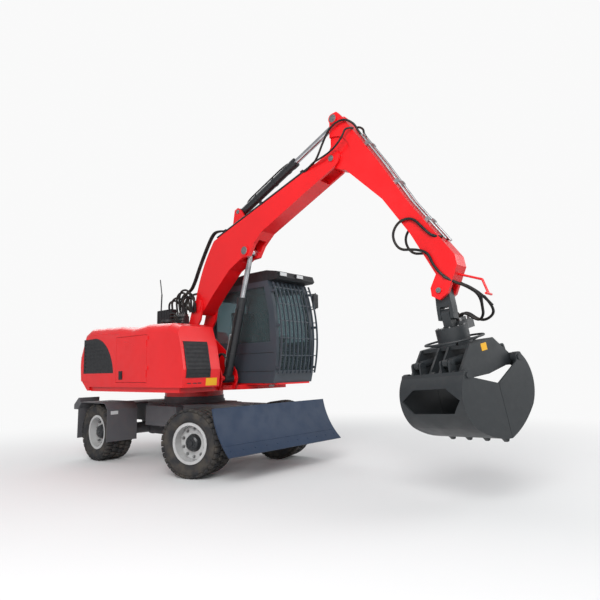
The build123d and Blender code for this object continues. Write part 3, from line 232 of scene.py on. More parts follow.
MATERIALS = {
    "red_paint": paint("red_paint", srgb(230, 12, 20), 0.34, coat=0.15, dust=0.03),
    "dark_paint": paint("dark_paint", srgb(82, 82, 86), 0.5, dust=0.15, low_dust=0.08, wear=0.02),
    "blade_paint": paint("blade_paint", srgb(28, 48, 74), 0.5, dust=0.02),
    "grab_paint": paint("grab_paint", srgb(38, 42, 45), 0.45, dust=0.05, wear=0.03),
    "cab_paint": paint("cab_paint", srgb(60, 68, 76), 0.4, dust=0.08),
    "rim_paint": paint("rim_paint", srgb(184, 184, 184), 0.42, dust=0.1, low_dust=0.08),
    "black_paint": paint("black_paint", srgb(34, 36, 39), 0.35, dust=0.1, wear=0.02),
    "tyre": rubber("tyre", srgb(46, 46, 48), 0.16),
    "glass": window("glass", (0.36, 0.46, 0.48, 1.0)),
    "chrome": metal("chrome", (0.62, 0.62, 0.64, 1.0), 0.16),
    "pipe_steel": metal("pipe_steel", (0.46, 0.47, 0.48, 1.0), 0.4),
    "black_plastic": plastic("black_plastic", srgb(30, 31, 34)),
    "seat_fabric": plastic("seat_fabric", srgb(38, 38, 42), 0.85, 0.1),
}
HOSE = rubber("hose", srgb(22, 22, 24), 0.08, 0.5)
YELLOW = paint("yellow_plate", srgb(236, 176, 22), 0.45, dust=0.05)
LENS = plastic("lamp_lens", srgb(190, 193, 194), 0.18, 0.0)
RED_LENS = plastic("red_lens", srgb(150, 20, 18), 0.2, 0.05)
AMBER_LENS = plastic("amber_lens", srgb(220, 120, 20), 0.2, 0.05)
FITTING = metal("fitting", (0.36, 0.36, 0.36, 1.0), 0.42)
MIRROR = metal("mirror_face", (0.75, 0.77, 0.8, 1.0), 0.06)

for subpart in frame["record"]["subparts"]:
    mesh = frame["nodes"][subpart["node"]].data
    mesh.materials.clear()
    mesh.materials.append(MATERIALS[subpart["material_slot"]])

# Frames of the machine and of what hangs from the stick's tip, turned in degrees as in the rest pose

MACHINE = Matrix.Translation(ORIGIN)
ARM_Y = -0.15
STICK_TIP = (5.13, ARM_Y, 2.46)
CROSS_PIN_DROP = 0.29
LINK_LEAN, CROSS_LEAN, GRAB_TURN = -6.3, 10.3, -15.4
HANG = Matrix.Translation(place(*STICK_TIP)) @ Matrix.Rotation(math.radians(LINK_LEAN), 4, "Y")
SWING = (HANG @ Matrix.Translation((0, 0, -CROSS_PIN_DROP))
         @ Matrix.Rotation(math.radians(CROSS_LEAN), 4, "X") @ Matrix.Translation((0, 0, CROSS_PIN_DROP)))
GRAB = SWING @ Matrix.Rotation(math.radians(GRAB_TURN), 4, "Z")

# Shapes added to the CAD part


def around(count, start=0.0):
    """Angles of places spread evenly over a full turn."""
    return [start + 2 * math.pi * i / count for i in range(count)]


def show(name, mesh, slot, body, material=None, smooth=False):
    """Put a mesh in the scene on a body, or across the joint of two bodies."""
    obj = bpy.data.objects.new(name, mesh)
    bpy.context.scene.collection.objects.link(obj)
    mesh.materials.clear()
    mesh.materials.append(material or MATERIALS[slot])
    for polygon in mesh.polygons:
        polygon.use_smooth = smooth
    if isinstance(body, str):
        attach(obj, body)
    else:
        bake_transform(obj)
    return obj


class Shape:
    """A mesh put together from blocks, rods and turned forms, in one of the machine's frames."""

    def __init__(self, matrix=MACHINE):
        self.bm = bmesh.new()
        self.matrix = matrix

    def add(self, made, turn):
        bmesh.ops.transform(self.bm, matrix=self.matrix @ turn, verts=made["verts"])

    def block(self, low, high, bevel=0.0):
        size = [b - a for a, b in zip(low, high)]
        middle = [(a + b) / 2 for a, b in zip(low, high)]
        made = bmesh.ops.create_cube(self.bm, size=1.0)
        self.add(made, Matrix.Translation(middle) @ Matrix.Diagonal((*size, 1.0)))
        if bevel:
            edges = list({e for v in made["verts"] for e in v.link_edges})
            bmesh.ops.bevel(self.bm, geom=edges, offset=bevel, segments=2, affect="EDGES")

    def rod(self, start, end, radius, sides=16, end_radius=None):
        start, end = Vector(start), Vector(end)
        axis = end - start
        made = bmesh.ops.create_cone(self.bm, cap_ends=True, segments=sides, radius1=radius,
                                     radius2=radius if end_radius is None else end_radius, depth=axis.length)
        turn = axis.to_track_quat("Z", "Y").to_matrix().to_4x4()
        self.add(made, Matrix.Translation((start + end) / 2) @ turn)

    def skin(self, rings, closed=True):
        """Join rings of points, each to the next, and the last to the first or both ends with caps."""
        rings = [[self.bm.verts.new(self.matrix @ Vector(point)) for point in ring] for ring in rings]
        for here, after in zip(rings, rings[1:] + rings[:1] if closed else rings[1:]):
            for k in range(len(here)):
                n = (k + 1) % len(here)
                self.bm.faces.new((here[k], here[n], after[n], after[k]))
        if not closed:
            self.bm.faces.new(rings[0])
            self.bm.faces.new(rings[-1])

    def lathe(self, profile, sides):
        """Closed profile of (along Y, radius) pairs turned about Y."""
        self.skin([[(r * math.sin(a), y, r * math.cos(a)) for y, r in profile] for a in around(sides)])

    def band(self, start, end, inner, outer, sides=32):
        """Ring about the X axis between two places on it."""
        profile = ((start, inner), (start, outer), (end, outer), (end, inner))
        self.skin([[(x, r * math.cos(a), r * math.sin(a)) for x, r in profile] for a in around(sides)])

    def torus(self, radius, thick, z, sides=64, tube_sides=10):
        """Ring of round section about the Z axis."""
        section = [(radius + thick * math.cos(b), z + thick * math.sin(b)) for b in around(tube_sides)]
        self.skin([[(r * math.cos(a), r * math.sin(a), h) for r, h in section] for a in around(sides)])

    def show(self, name, slot, body, material=None, smooth=False):
        """Close the shape and put it in the scene."""
        bmesh.ops.recalc_face_normals(self.bm, faces=self.bm.faces)
        mesh = bpy.data.meshes.new(name)
        self.bm.to_mesh(mesh)
        self.bm.free()
        return show(name, mesh, slot, body, material, smooth)


def hose(name, points, radius, slot, body, material=None, matrix=MACHINE):
    """A bent pipe or hose along a smooth line."""
    curve = bpy.data.curves.new(name, "CURVE")
    curve.dimensions = "3D"
    curve.bevel_depth = radius
    curve.bevel_resolution = 3
    curve.use_fill_caps = True
    spline = curve.splines.new("NURBS")
    spline.points.add(len(points) - 1)
    for target, point in zip(spline.points, points):
        target.co = (*(matrix @ Vector(point)), 1.0)
    spline.order_u = 3
    spline.use_endpoint_u = True
    spline.resolution_u = 6
    carrier = bpy.data.objects.new(name + "_line", curve)
    bpy.context.scene.collection.objects.link(carrier)
    mesh = bpy.data.meshes.new_from_object(carrier.evaluated_get(bpy.context.evaluated_depsgraph_get()))
    bpy.data.objects.remove(carrier)
    show(name, mesh, slot, body, material, smooth=True)


def touch(node, start, direction, matrix=MACHINE):
    """Place and outward direction, in the part's frame, where a line first meets a CAD node."""
    aim = matrix.to_3x3() @ Vector(direction)
    hit, where, normal, _ = frame["nodes"][node].ray_cast(matrix @ Vector(start), aim)
    if not hit:
        raise ValueError(f"nothing of {node} there")
    return where, normal


def machine_touch(node, start, direction):
    """Place in the machine's axes where a line first meets a CAD node."""
    return touch(node, start, direction)[0] - ORIGIN


def beside_arm(hand, out):
    """Y at a distance to the right (-1) or left (1) of the arm's middle."""
    return ARM_Y + hand * out


# Wheels: rounded tyres with block tread, dark hub covers and wheel nuts

TYRE_R = 0.505
TREAD_ROOT_R = 0.462
TREAD_TOP_R = TYRE_R - 0.0025
TREAD_ROWS = 34
TREAD_PITCH = 2 * math.pi / TREAD_ROWS
# of each tread block: inner and outer Y, shift in pitches, half length
TREAD_BLOCKS = ((0.012, 0.120, 0.0, 0.037), (0.116, 0.236, 0.32, 0.040))
TYRE_SIDE = [(0.186, 0.290), (0.196, 0.312), (0.216, 0.322), (0.232, 0.345), (0.241, 0.378), (0.2445, 0.405),
             (0.243, 0.432), (0.237, 0.452), (0.222, 0.468), (0.195, 0.4755), (0.100, 0.479)]
TYRE_PROFILE = TYRE_SIDE + [(-y, r) for y, r in TYRE_SIDE[::-1]]
HUB_PROFILE = [(-0.078, 0.128), (-0.090, 0.133), (-0.152, 0.108), (-0.169, 0.083), (-0.169, 0.004),
               (-0.164, 0.004), (-0.160, 0.080)]
HUB_BOLTS, HUB_BOLT_CIRCLE_R, HUB_FACE_Y = 8, 0.066, -0.168
NUTS, NUT_CIRCLE_R, RIM_FACE_Y = 10, 0.202, -0.0745
# of washer, nut and stud: start and end off the rim, radius, sides
NUT_STEPS = ((0.0, 0.006, 0.024, 20), (0.006, 0.030, 0.017, 6), (0.030, 0.044, 0.010, 10))
AXLE_X = 1.333
WHEEL_Y = 0.99
KINGPIN_Y = 0.8
FRONT_STEER = 17.3
SMOOTH_AREA = 0.0004

wheels = (("front_right", AXLE_X, -1, FRONT_STEER), ("front_left", AXLE_X, 1, FRONT_STEER),
          ("rear_right", -AXLE_X, -1, 0.0), ("rear_left", -AXLE_X, 1, 0.0))
for name, x, side, steer in wheels:
    pivot = KINGPIN_Y if x > 0 else 0.0
    turn = math.radians(steer if side < 0 else steer + 180)
    wheel = (Matrix.Translation(place(x, side * pivot, TYRE_R)) @ Matrix.Rotation(turn, 4, "Z")
             @ Matrix.Translation((0, pivot - WHEEL_Y, 0)))
    tyre = Shape(wheel)
    tyre.lathe(TYRE_PROFILE, 96)
    for angle in around(TREAD_ROWS):
        for low, high, shift, half in TREAD_BLOCKS:
            for hand in (-1, 1):
                row = angle + (shift + 0.5 * (hand > 0)) * TREAD_PITCH
                tyre.matrix = wheel @ Matrix.Rotation(row, 4, "Y")
                y = sorted((hand * low, hand * high))
                tyre.block((-half, y[0], TREAD_ROOT_R), (half, y[1], TREAD_TOP_R), 0.006)
    piece = tyre.show(f"tread_{name}", "tyre", f"wheel_{name}")
    for polygon in piece.data.polygons:
        polygon.use_smooth = len(polygon.vertices) == 4 and polygon.area > SMOOTH_AREA
    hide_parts(f"tyre_{name}")
    hub = Shape(wheel)
    hub.lathe(HUB_PROFILE, 40)
    hub.rod((0, HUB_FACE_Y, 0), (0, HUB_FACE_Y - 0.015, 0), 0.045, 24, 0.038)
    for a in around(HUB_BOLTS, math.pi / HUB_BOLTS):
        spot = Vector((HUB_BOLT_CIRCLE_R * math.sin(a), HUB_FACE_Y, HUB_BOLT_CIRCLE_R * math.cos(a)))
        hub.rod(spot, spot - Vector((0, 0.010, 0)), 0.009, 6)
    hub.show(f"hub_{name}", "black_paint", f"wheel_{name}")
    nuts = Shape(wheel)
    for a in around(NUTS):
        spot = Vector((NUT_CIRCLE_R * math.sin(a), RIM_FACE_Y, NUT_CIRCLE_R * math.cos(a)))
        for start, end, radius, sides in NUT_STEPS:
            nuts.rod(spot - Vector((0, start, 0)), spot - Vector((0, end, 0)), radius, sides)
    nuts.show(f"nuts_{name}", "chrome", f"wheel_{name}", FITTING)

# Hoses that cross the joints of the arm, side by side

HOSE_R = 0.017
for i, y in enumerate((-0.31, -0.27, -0.03, 0.01)):
    start_x = 0.10 + 0.06 * i
    hose(f"boom_foot_hose_{i}",
         [(start_x, -0.40, 2.62), (start_x, -0.41, 2.92), (0.26, y, 3.02), (0.38, y, 3.16), (0.52, y, 3.42),
          (0.72, y, 3.73), (0.90, y, 3.97), (1.04, y, 4.00), (1.20, y, 3.965 + 0.01 * (i % 2))],
         HOSE_R, "black_plastic", ("upper", "boom", (0.20, y, 2.95), (0.45, y, 3.30)), HOSE)
for hand, side in ((-1, "right"), (1, "left")):
    near = beside_arm(hand, 0.126)
    far = beside_arm(hand, 0.175)
    end = beside_arm(hand, 0.07)
    hose(f"elbow_hose_outer_{side}",
         [(3.10, near, 4.556), (3.241, near, 4.601), (3.36, far, 4.66), (3.46, far, 4.84), (3.60, far, 5.04),
          (3.84, far, 5.09), (3.99, beside_arm(hand, 0.12), 4.98), (4.018, end, 4.877), (4.07, end, 4.80)],
         0.016, "black_plastic", ("boom", "stick", (3.30, far, 4.62), (3.60, far, 5.04)), HOSE)
    far = beside_arm(hand, 0.205)
    hose(f"elbow_hose_inner_{side}",
         [(3.04, near, 4.50), (3.26, far, 4.575), (3.44, far, 4.60), (3.66, far, 4.66), (3.84, far, 4.80),
          (3.90, far, 4.93), (3.99, beside_arm(hand, 0.135), 4.90)],
         0.014, "black_plastic", ("boom", "stick", (3.34, far, 4.58), (3.80, far, 4.78)), HOSE)
    loop = beside_arm(hand, 0.16)
    tip_start = [(5.20, beside_arm(hand, 0.15), 2.62), (5.30, beside_arm(hand, 0.11), 2.55)]
    hose(f"stick_loop_{side}",
         [(5.19, beside_arm(hand, 0.08), 3.115), (5.10, beside_arm(hand, 0.15), 3.12), (4.99, loop, 3.24),
          (4.84, loop, 3.42), (4.64, loop, 3.41), (4.53, loop, 3.24), (4.63, loop, 3.03), (4.84, loop, 3.01),
          (5.03, loop, 2.94), (5.08, loop, 2.78), *tip_start],
         HOSE_R, "black_plastic", "stick", HOSE)
    shift = 0.045 * hand
    tip_bend = [(5.53, 0.02 + shift, 2.38), (5.545 + shift, 0.11 + shift, 2.27)]
    hose(f"tip_hose_upper_{side}", [*tip_start, (5.42, -0.10 + shift, 2.49), *tip_bend],
         HOSE_R, "black_plastic", ("stick", "link", (5.28, -0.15, 2.56), (5.545, 0.11, 2.27)), HOSE)
    valve = SWING @ Vector((0.0, 0.32 + shift, -0.352)) - ORIGIN
    hose(f"tip_hose_lower_{side}",
         [*tip_bend, (5.53 + shift, 0.18 + shift, 2.16), (5.40, 0.22 + shift, 2.09),
          valve + Vector((0.06, 0, 0.08)), valve],
         HOSE_R, "black_plastic", ("link", "rotator", (5.545, 0.11, 2.27), (5.42, 0.21, 2.10)), HOSE)

# Pipes, clamps and bolts of the cylinders


def along_cylinder(foot, eye):
    """Frame at a cylinder's foot pin with X along it and Z across it, upwards."""
    x = Vector((eye[0] - foot[0], 0, eye[1] - foot[1])).normalized()
    y = Vector((0, 1, 0))
    turn = Matrix((x, y, x.cross(y))).transposed().to_4x4()
    return Matrix.Translation(place(foot[0], ARM_Y, foot[1])) @ turn


PIPE_R = 0.012
SECOND_PIPE_SHORTER = 0.5
CLAMPS_AT = (0.42, 0.86, 1.18)
lift = along_cylinder((1.11, 1.44), (1.73, 3.53))
stick_cylinder = along_cylinder((1.52, 4.25), (3.63, 5.17))
for name, matrix, radius, length in (("lift", lift, 0.075, 1.40), ("stick", stick_cylinder, 0.068, 1.38)):
    body = f"{name}_barrel"
    fittings = Shape(matrix)
    for at in CLAMPS_AT:
        fittings.band(at - 0.02, at + 0.02, radius - 0.001, radius + 0.007)
    fittings.band(length - 0.10, length - 0.005, radius - 0.001, radius + 0.007)
    bolt_circle = radius - 0.012
    for a in around(8):
        spot = Vector((length - 0.006, bolt_circle * math.sin(a), bolt_circle * math.cos(a)))
        fittings.rod(spot, spot + Vector((0.010, 0, 0)), 0.007, 6)
    fittings.show(f"{name}_cylinder_fittings", "black_paint", body)
    clear, joined = radius + 0.024, radius * 0.97
    for k, spread in enumerate((-0.022, 0.022)):
        end = length - SECOND_PIPE_SHORTER * k
        line = [(0.20, joined), (0.26, clear), (0.40, clear), (0.80, clear), (end - 0.22, clear),
                (end - 0.14, joined)]
        # the lift cylinder's pipes run along its right side, the stick cylinder's on top
        points = [(x, -out, spread) if name == "lift" else (x, spread, out) for x, out in line]
        hose(f"{name}_cylinder_pipe_{k}", points, PIPE_R, "chrome" if k else "black_plastic", body,
             FITTING if k else HOSE, matrix)
for i, y in enumerate((-0.27, -0.235)):
    hose(f"lift_hose_{i}",
         [(0.86, y - 0.02, 1.36), (0.92, y - 0.03, 1.62), (1.04, y - 0.03, 1.84), (1.16, y - 0.01, 1.86),
          (1.20, y, 1.78)],
         0.016, "black_plastic", ("upper", "lift_barrel", (0.92, y, 1.60), (1.16, y, 1.84)), HOSE)

# Ends of the arm's pins: a bright disc with its boss and two bolts, on both sides

# body, X, Z, distance from the arm's middle, radius
PINS = (("boom", 1.73, 3.53, 0.163, 0.070), ("boom", 3.59, 4.57, 0.159, 0.047),
        ("boom", 1.52, 4.25, 0.105, 0.039), ("stick", 3.63, 5.17, 0.146, 0.062),
        ("stick", STICK_TIP[0], STICK_TIP[2], 0.146, 0.035))
for body, x, z, out, radius in PINS:
    caps = Shape()
    for hand in (-1, 1):
        y = beside_arm(hand, out)
        caps.rod((x, y - hand * 0.003, z), (x, y + hand * 0.006, z), radius, 28, radius * 0.94)
        caps.rod((x, y + hand * 0.006, z), (x, y + hand * 0.012, z), radius * 0.45, 20)
        for a in around(2, 0.6):
            bolt_x, bolt_z = x + radius * 0.68 * math.cos(a), z + radius * 0.68 * math.sin(a)
            spot = Vector((bolt_x, y + hand * 0.005, bolt_z))
            caps.rod(spot, spot + Vector((0, hand * 0.010, 0)), radius * 0.15, 6)
    caps.show(f"pin_ends_{body}_{round(x * 1000)}", "chrome", body, FITTING)

# Hydraulics on the hood: bent hoses between the valves, the cooler and the boom's foot, with fittings

DECK_HOSES = ((0.03, 2.98, -0.43), (0.12, 3.02, -0.44), (0.21, 2.95, -0.42), (-0.10, 2.90, -0.44),
              (-0.22, 2.86, -0.42), (0.27, 2.88, -0.46))
for i, (x, top, y) in enumerate(DECK_HOSES):
    hose(f"deck_hose_{i}",
         [(x, -0.395, 2.58), (x - 0.02, y, 2.76), (x + 0.02, y, top), (x + 0.20, y + 0.02, top + 0.02),
          (x + 0.30, y + 0.05, top - 0.12), (0.36 + 0.03 * i, -0.375, 2.62)],
         0.019, "black_plastic", "upper", HOSE)
for i, z in enumerate((2.50, 2.56, 2.62)):
    hose(f"cooler_hose_{i}",
         [(-0.12, -0.46, z), (0.00, -0.485, z + 0.02), (0.09, -0.485, z - 0.04),
          (0.18, -0.475, 2.42 + 0.02 * i), (0.27, -0.46, 2.40)],
         0.016, "black_plastic", "upper", HOSE)
valves = Shape()
for i in range(5):
    x = -0.02 + 0.068 * i
    valves.block((x - 0.026, -0.442, 2.555), (x + 0.026, -0.352, 2.60), 0.004)
    for z in (2.50, 2.455):
        valves.rod((x, -0.44, z), (x, -0.468, z), 0.02, 6)
    valves.rod((x, -0.395, 2.60), (x, -0.395, 2.625), 0.022, 6)
valves.show("valve_blocks", "dark_paint", "upper", FITTING)

# Hood: handle, creases, rear strips, closed rear corners, filler cap, blank plates and front slots

handle = Shape()
handle.block((-0.590, -1.209, 1.452), (-0.470, -1.199, 1.602), 0.004)
handle.block((-0.566, -1.216, 1.475), (-0.494, -1.208, 1.580), 0.003)
handle.show("door_handle", "black_plastic", "engine_door")

CREASE_R = 0.006
CREASE_SINK = Vector((0, 0.003, 0))
HOOD_CREASE = ((-1.63, 2.30), (-1.30, 2.31), (-0.95, 2.285), (-0.72, 2.235))
DOOR_CREASE = ((-0.69, 2.19), (-0.45, 2.13), (-0.21, 2.06), (-0.10, 2.02))
hose("hood_crease",
     [machine_touch("engine_hood", (x, -2.0, z), (0, 1, 0)) + CREASE_SINK for x, z in HOOD_CREASE],
     CREASE_R, "red_paint", "upper")
hose("door_crease", [(x, -1.1975, z) for x, z in DOOR_CREASE], CREASE_R, "red_paint", "engine_door")

strips = Shape()
for inner, outer in ((-1.150, -1.199), (1.150, 1.199)):
    rows = []
    for z in (1.50, 1.699, 1.90):
        x = machine_touch("engine_hood", (-4.0, (inner + outer) / 2, z), (1, 0, 0)).x
        behind, inside = x - 0.005, x + 0.004
        rows.append([(behind, inner, z), (behind, outer, z), (inside, outer, z), (inside, inner, z)])
    strips.skin(rows, closed=False)
strips.show("rear_strips", "rim_paint", "upper")

# The CAD hood has a slit at each upper rear corner. A sheet just under the rounded surface and a black
# return beside the grille close it. The sheet's table gives, by height, depths in mm from the square
# corner at places across it.
HOOD_REAR_X = -2.04
HOOD_SIDE_Y = 1.2
CORNER_ACROSS = (-0.025, 0.0, 0.02, 0.04, 0.065)
CORNER_DEPTHS = {2.06: (46, 46, 51, 57, 70), 2.10: (60, 59, 62, 66, 76), 2.14: (74, 73, 73, 76, 83),
                 2.18: (92, 87, 86, 87, 92), 2.22: (111, 103, 99, 99, 102), 2.26: (132, 120, 114, 112, 113),
                 2.30: (154, 139, 131, 127, 125)}
CORNER_SINK = 0.001
CORNER_THICK = 0.006
returns = Shape()
corners = Shape()
for side in (-1, 1):
    y = sorted((side * 1.14, side * 1.1962))
    returns.block((-1.932, y[0], 2.08), (-1.90, y[1], 2.221))
    inward = Vector((1, -side, 0)).normalized()
    forward = Vector((1, side, 0)).normalized()
    rows = []
    for z, depths in CORNER_DEPTHS.items():
        corner = Vector((HOOD_REAR_X, side * HOOD_SIDE_Y, z))
        front = [corner + inward * (depth / 1000 + CORNER_SINK) + forward * across
                 for across, depth in zip(CORNER_ACROSS, depths)]
        rows.append(front + [point + inward * CORNER_THICK for point in reversed(front)])
    corners.skin(rows, closed=False)
returns.show("grille_returns", "black_plastic", "upper")
corners.show("hood_corners", "red_paint", "upper", smooth=True)

filler = Shape()
cap_at = machine_touch("engine_hood", (0.30, -0.80, 4.0), (0, 0, -1))
neck_top = cap_at + Vector((0, 0, 0.045))
filler.rod(cap_at - Vector((0, 0, 0.02)), neck_top, 0.085, 32)
filler.rod(neck_top, cap_at + Vector((0, 0, 0.085)), 0.115, 32, 0.10)
filler.show("filler_cap", "black_plastic", "upper")


def blank_plate(name, node, start, size, slot, body, material, matrix=MACHINE):
    """A thin blank plate on the forward face of a node, level across it."""
    where, normal = touch(node, start, (-1, 0, 0), matrix)
    side = matrix.to_3x3() @ Vector((0, 1, 0))
    side = (side - normal * side.dot(normal)).normalized()
    turn = Matrix((side, normal.cross(side), normal)).transposed().to_4x4()
    plate = Shape(Matrix.Translation(where) @ turn)
    width, height = size
    plate.block((-width / 2, -height / 2, -0.001), (width / 2, height / 2, 0.003), 0.001)
    plate.show(name, slot, body, material)


blank_plate("front_plate", "engine_hood", (3.0, -0.645, 1.400), (0.22, 0.12),
            "black_plastic", "upper", YELLOW)
blank_plate("grab_plate", "grab_frame", (2.0, 0.02, -0.725), (0.10, 0.085),
            "grab_paint", "grab", YELLOW, GRAB)
blank_plate("guard_plate", "mudguards", (0.0, -1.15, 0.87), (0.14, 0.06), "dark_paint", "chassis", LENS)

slots = Shape()
for y in (-1.08, -0.97, -0.88):
    x = machine_touch("engine_hood", (3.0, y, 1.385), (-1, 0, 0)).x
    slots.block((x - 0.01, y - 0.035, 1.378), (x + 0.003, y + 0.035, 1.392))
slots.show("front_slots", "black_plastic", "upper")

# Cab: work lamps, the lamp on the foot, mirror and seams

lenses = Shape()
for y in (0.33, 0.75):
    lenses.block((2.009, y - 0.082, 3.142), (2.017, y + 0.082, 3.202), 0.003)
lenses.show("lamp_lenses", "glass", "upper", LENS)
foot_x = machine_touch("upper_frame", (4.0, 0.77, 1.29), (-1, 0, 0)).x
foot_lamp = Shape()
foot_lamp.block((foot_x - 0.004, 0.70, 1.268), (foot_x + 0.012, 0.84, 1.312), 0.004)
foot_lamp.show("foot_lamp", "glass", "upper", LENS)

MIRROR_ARM_R = 0.011
mirror = Shape()
mirror.rod((1.84, 1.13, 2.90), (1.97, 1.215, 2.92), MIRROR_ARM_R)
mirror.rod((1.86, 1.13, 2.62), (1.97, 1.215, 2.66), MIRROR_ARM_R)
mirror.rod((1.97, 1.215, 2.94), (1.97, 1.215, 2.64), MIRROR_ARM_R)
mirror.block((1.945, 1.135, 2.66), (1.985, 1.285, 2.92), 0.012)
mirror.show("mirror", "black_plastic", "upper")
mirror_face = Shape()
mirror_face.block((1.9425, 1.150, 2.675), (1.946, 1.270, 2.905))
mirror_face.show("mirror_face", "chrome", "upper", MIRROR)

CAB_SIDE_Y = 0.1995
for i, z in enumerate((1.855, 1.545)):
    hose(f"cab_seam_{i}", [(x, CAB_SIDE_Y, z) for x in (0.62, 1.20, 1.88)], 0.005, "black_plastic", "upper")

# Blade: bolts of the cutting edge and the seam above it

bolts = Shape()
for i in range(11):
    where, normal = touch("blade", (4.0, -1.15 + 0.23 * i, 0.47), (-1, 0, 0))
    base = where - ORIGIN
    bolts.rod(base - normal * 0.004, base + normal * 0.006, 0.016, 16, 0.012)
bolts.show("blade_bolts", "blade_paint", "blade")
seam = []
for y in (-1.20, 1.20):
    where, normal = touch("blade", (4.0, y, 0.535), (-1, 0, 0))
    seam.append(where - ORIGIN + normal * 0.0005)
hose("blade_edge_seam", [seam[0], (seam[0] + seam[1]) / 2, seam[1]], 0.004, "blade_paint", "blade")

# Grab: guard ring for the hoses, flange bolts, and the rotator's ports with a short hose

RING_R, RING_Z = 0.345, -0.60
ring = Shape(GRAB)
ring.torus(RING_R, 0.013, RING_Z)
for a in around(4, math.pi / 4):
    inner = (0.20 * math.cos(a), 0.20 * math.sin(a), -0.645)
    ring.rod(inner, (RING_R * math.cos(a), RING_R * math.sin(a), RING_Z), 0.011, 10)
ring.show("hose_ring", "grab_paint", "grab")

FLANGE_BOLT_CIRCLE_R = 0.1985
flange_bolts = Shape(GRAB)
for a in around(14):
    spot = Vector((FLANGE_BOLT_CIRCLE_R * math.cos(a), FLANGE_BOLT_CIRCLE_R * math.sin(a), -0.621))
    flange_bolts.rod(spot, spot + Vector((0, 0, 0.012)), 0.0095, 6)
flange_bolts.show("flange_bolts", "chrome", "grab", FITTING)

ROTATOR_BOLT_CIRCLE_R = 0.165
ports = Shape(SWING)
for x, y in ((-0.05, 0.46), (0.05, 0.46), (-0.05, 0.20), (0.05, 0.20)):
    ports.rod((x, y, -0.402), (x, y, -0.36), 0.018, 6)
for a in around(10):
    x, y = ROTATOR_BOLT_CIRCLE_R * math.cos(a), ROTATOR_BOLT_CIRCLE_R * math.sin(a)
    ports.rod((x, y, -0.441), (x, y, -0.428), 0.011, 6)
ports.show("rotator_ports", "chrome", "rotator", FITTING)
hose("rotator_hose",
     [(-0.05, 0.46, -0.37), (-0.06, 0.46, -0.30), (-0.09, 0.36, -0.26), (-0.08, 0.26, -0.30),
      (-0.05, 0.20, -0.37)],
     0.013, "black_plastic", "rotator", HOSE, SWING)

# Chassis: lamps on the rear of the mudguards

REAR_LAMPS = (("rear_lamps", 0.915, 0.945, RED_LENS), ("rear_indicators", 0.95, 0.98, AMBER_LENS))
for name, low, high, material in REAR_LAMPS:
    lamps = Shape()
    for side in (-1, 1):
        y = sorted((side * 1.0, side * 1.26))
        lamps.block((-2.084, y[0], low), (-2.078, y[1], high), 0.002)
    lamps.show(name, "glass", "chassis", material)

# Camera at the photograph's place, found by fitting it to wheels, blade, hood, cab and arm

CAMERA_AT = (7.8851, -5.9182, 1.5583)
CAMERA_TURN = 0.848
CAMERA_PITCH = 0.1351
CAMERA_ROLL = -0.0223
CAMERA_LENS = 30.723

ahead = Vector((-math.cos(CAMERA_TURN), math.sin(CAMERA_TURN), 0))
right = Vector((math.sin(CAMERA_TURN), math.cos(CAMERA_TURN), 0))
up = -ahead * math.sin(CAMERA_PITCH) + Vector((0, 0, math.cos(CAMERA_PITCH)))
look = ahead * math.cos(CAMERA_PITCH) + Vector((0, 0, math.sin(CAMERA_PITCH)))
turned_right = right * math.cos(CAMERA_ROLL) + up * math.sin(CAMERA_ROLL)
turned_up = -right * math.sin(CAMERA_ROLL) + up * math.cos(CAMERA_ROLL)

camera = bpy.data.objects.new("camera", bpy.data.cameras.new("camera"))
bpy.context.scene.collection.objects.link(camera)
camera.data.lens = CAMERA_LENS
camera.data.sensor_width = 36.0
camera.matrix_world = (Matrix.Translation(place(*CAMERA_AT))
                       @ Matrix((turned_right, turned_up, -look)).transposed().to_4x4())
bpy.context.scene.camera = camera

# Floor that fades with distance into the backdrop for camera rays

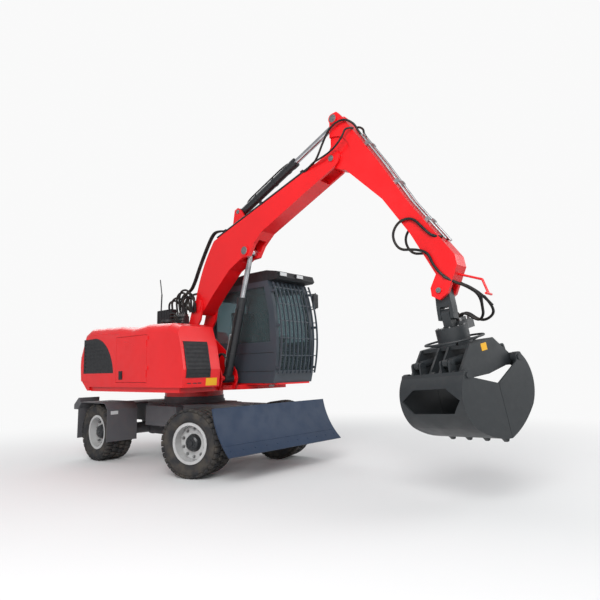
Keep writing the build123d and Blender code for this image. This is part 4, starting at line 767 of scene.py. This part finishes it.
FLOOR_SIZE = 400.0
FADE_START, FADE_END = 3.0, 11.0
BACKDROP = (0.95, 0.95, 0.95, 1.0)
half = FLOOR_SIZE / 2
floor_corners = [(-half, -half, 0), (half, -half, 0), (half, half, 0), (-half, half, 0)]
floor_mesh = bpy.data.meshes.new("floor")
floor_mesh.from_pydata(floor_corners, [], [(0, 1, 2, 3)])
floor = bpy.data.objects.new("floor", floor_mesh)
bpy.context.scene.collection.objects.link(floor)
shader = Shader("floor")
shader.set(metallic=0.0, roughness=0.9, specular_ior_level=0.2)
shader.colour(shader.mix(shader.noise(0.6, 5), (0.80, 0.80, 0.80, 1.0), (0.82, 0.82, 0.82, 1.0)))
nodes = shader.tree.nodes
reach = nodes.new("ShaderNodeVectorMath")
reach.operation = "LENGTH"
shader.link(shader.coords.outputs["Object"], reach.inputs[0])
distant = shader.ramp(reach.outputs["Value"], FADE_START, FADE_END)
path = nodes.new("ShaderNodeLightPath")
glow = nodes.new("ShaderNodeEmission")
glow.inputs["Color"].default_value = BACKDROP
fade = nodes.new("ShaderNodeMixShader")
shader.link(shader.math("MULTIPLY", distant, path.outputs["Is Camera Ray"]), fade.inputs["Fac"])
shader.link(shader.bsdf.outputs["BSDF"], fade.inputs[1])
shader.link(glow.outputs["Emission"], fade.inputs[2])
shader.link(fade.outputs["Shader"], nodes["Material Output"].inputs["Surface"])
floor_mesh.materials.append(shader.material)

# World light, with the plain backdrop for camera rays

world = bpy.data.worlds.new("studio")
world.use_nodes = True
nodes, links = world.node_tree.nodes, world.node_tree.links
nodes["Background"].inputs["Color"].default_value = (0.86, 0.88, 0.9, 1.0)
nodes["Background"].inputs["Strength"].default_value = 0.55
seen = nodes.new("ShaderNodeBackground")
seen.inputs["Color"].default_value = BACKDROP
path = nodes.new("ShaderNodeLightPath")
choose = nodes.new("ShaderNodeMixShader")
links.new(path.outputs["Is Camera Ray"], choose.inputs["Fac"])
links.new(nodes["Background"].outputs["Background"], choose.inputs[1])
links.new(seen.outputs["Background"], choose.inputs[2])
links.new(choose.outputs["Shader"], nodes["World Output"].inputs["Surface"])
bpy.context.scene.world = world

# Soft lamps


def area_light(name, at, target, size, watts):
    lamp = bpy.data.lights.new(name, "AREA")
    lamp.size = size
    lamp.energy = watts
    obj = bpy.data.objects.new(name, lamp)
    bpy.context.scene.collection.objects.link(obj)
    obj.location = place(*at)
    obj.rotation_mode = "QUATERNION"
    obj.rotation_quaternion = (place(*target) - obj.location).to_track_quat("-Z", "Y")


area_light("key", (9.0, -10.0, 8.5), (1.0, 0.0, 1.5), 8.0, 1500)
area_light("fill", (11.0, 8.0, 7.0), (1.0, 0.0, 1.5), 9.0, 450)
area_light("back", (-9.0, 3.0, 9.0), (0.0, 0.0, 2.0), 8.0, 450)

bpy.context.scene.view_settings.view_transform = "Standard"
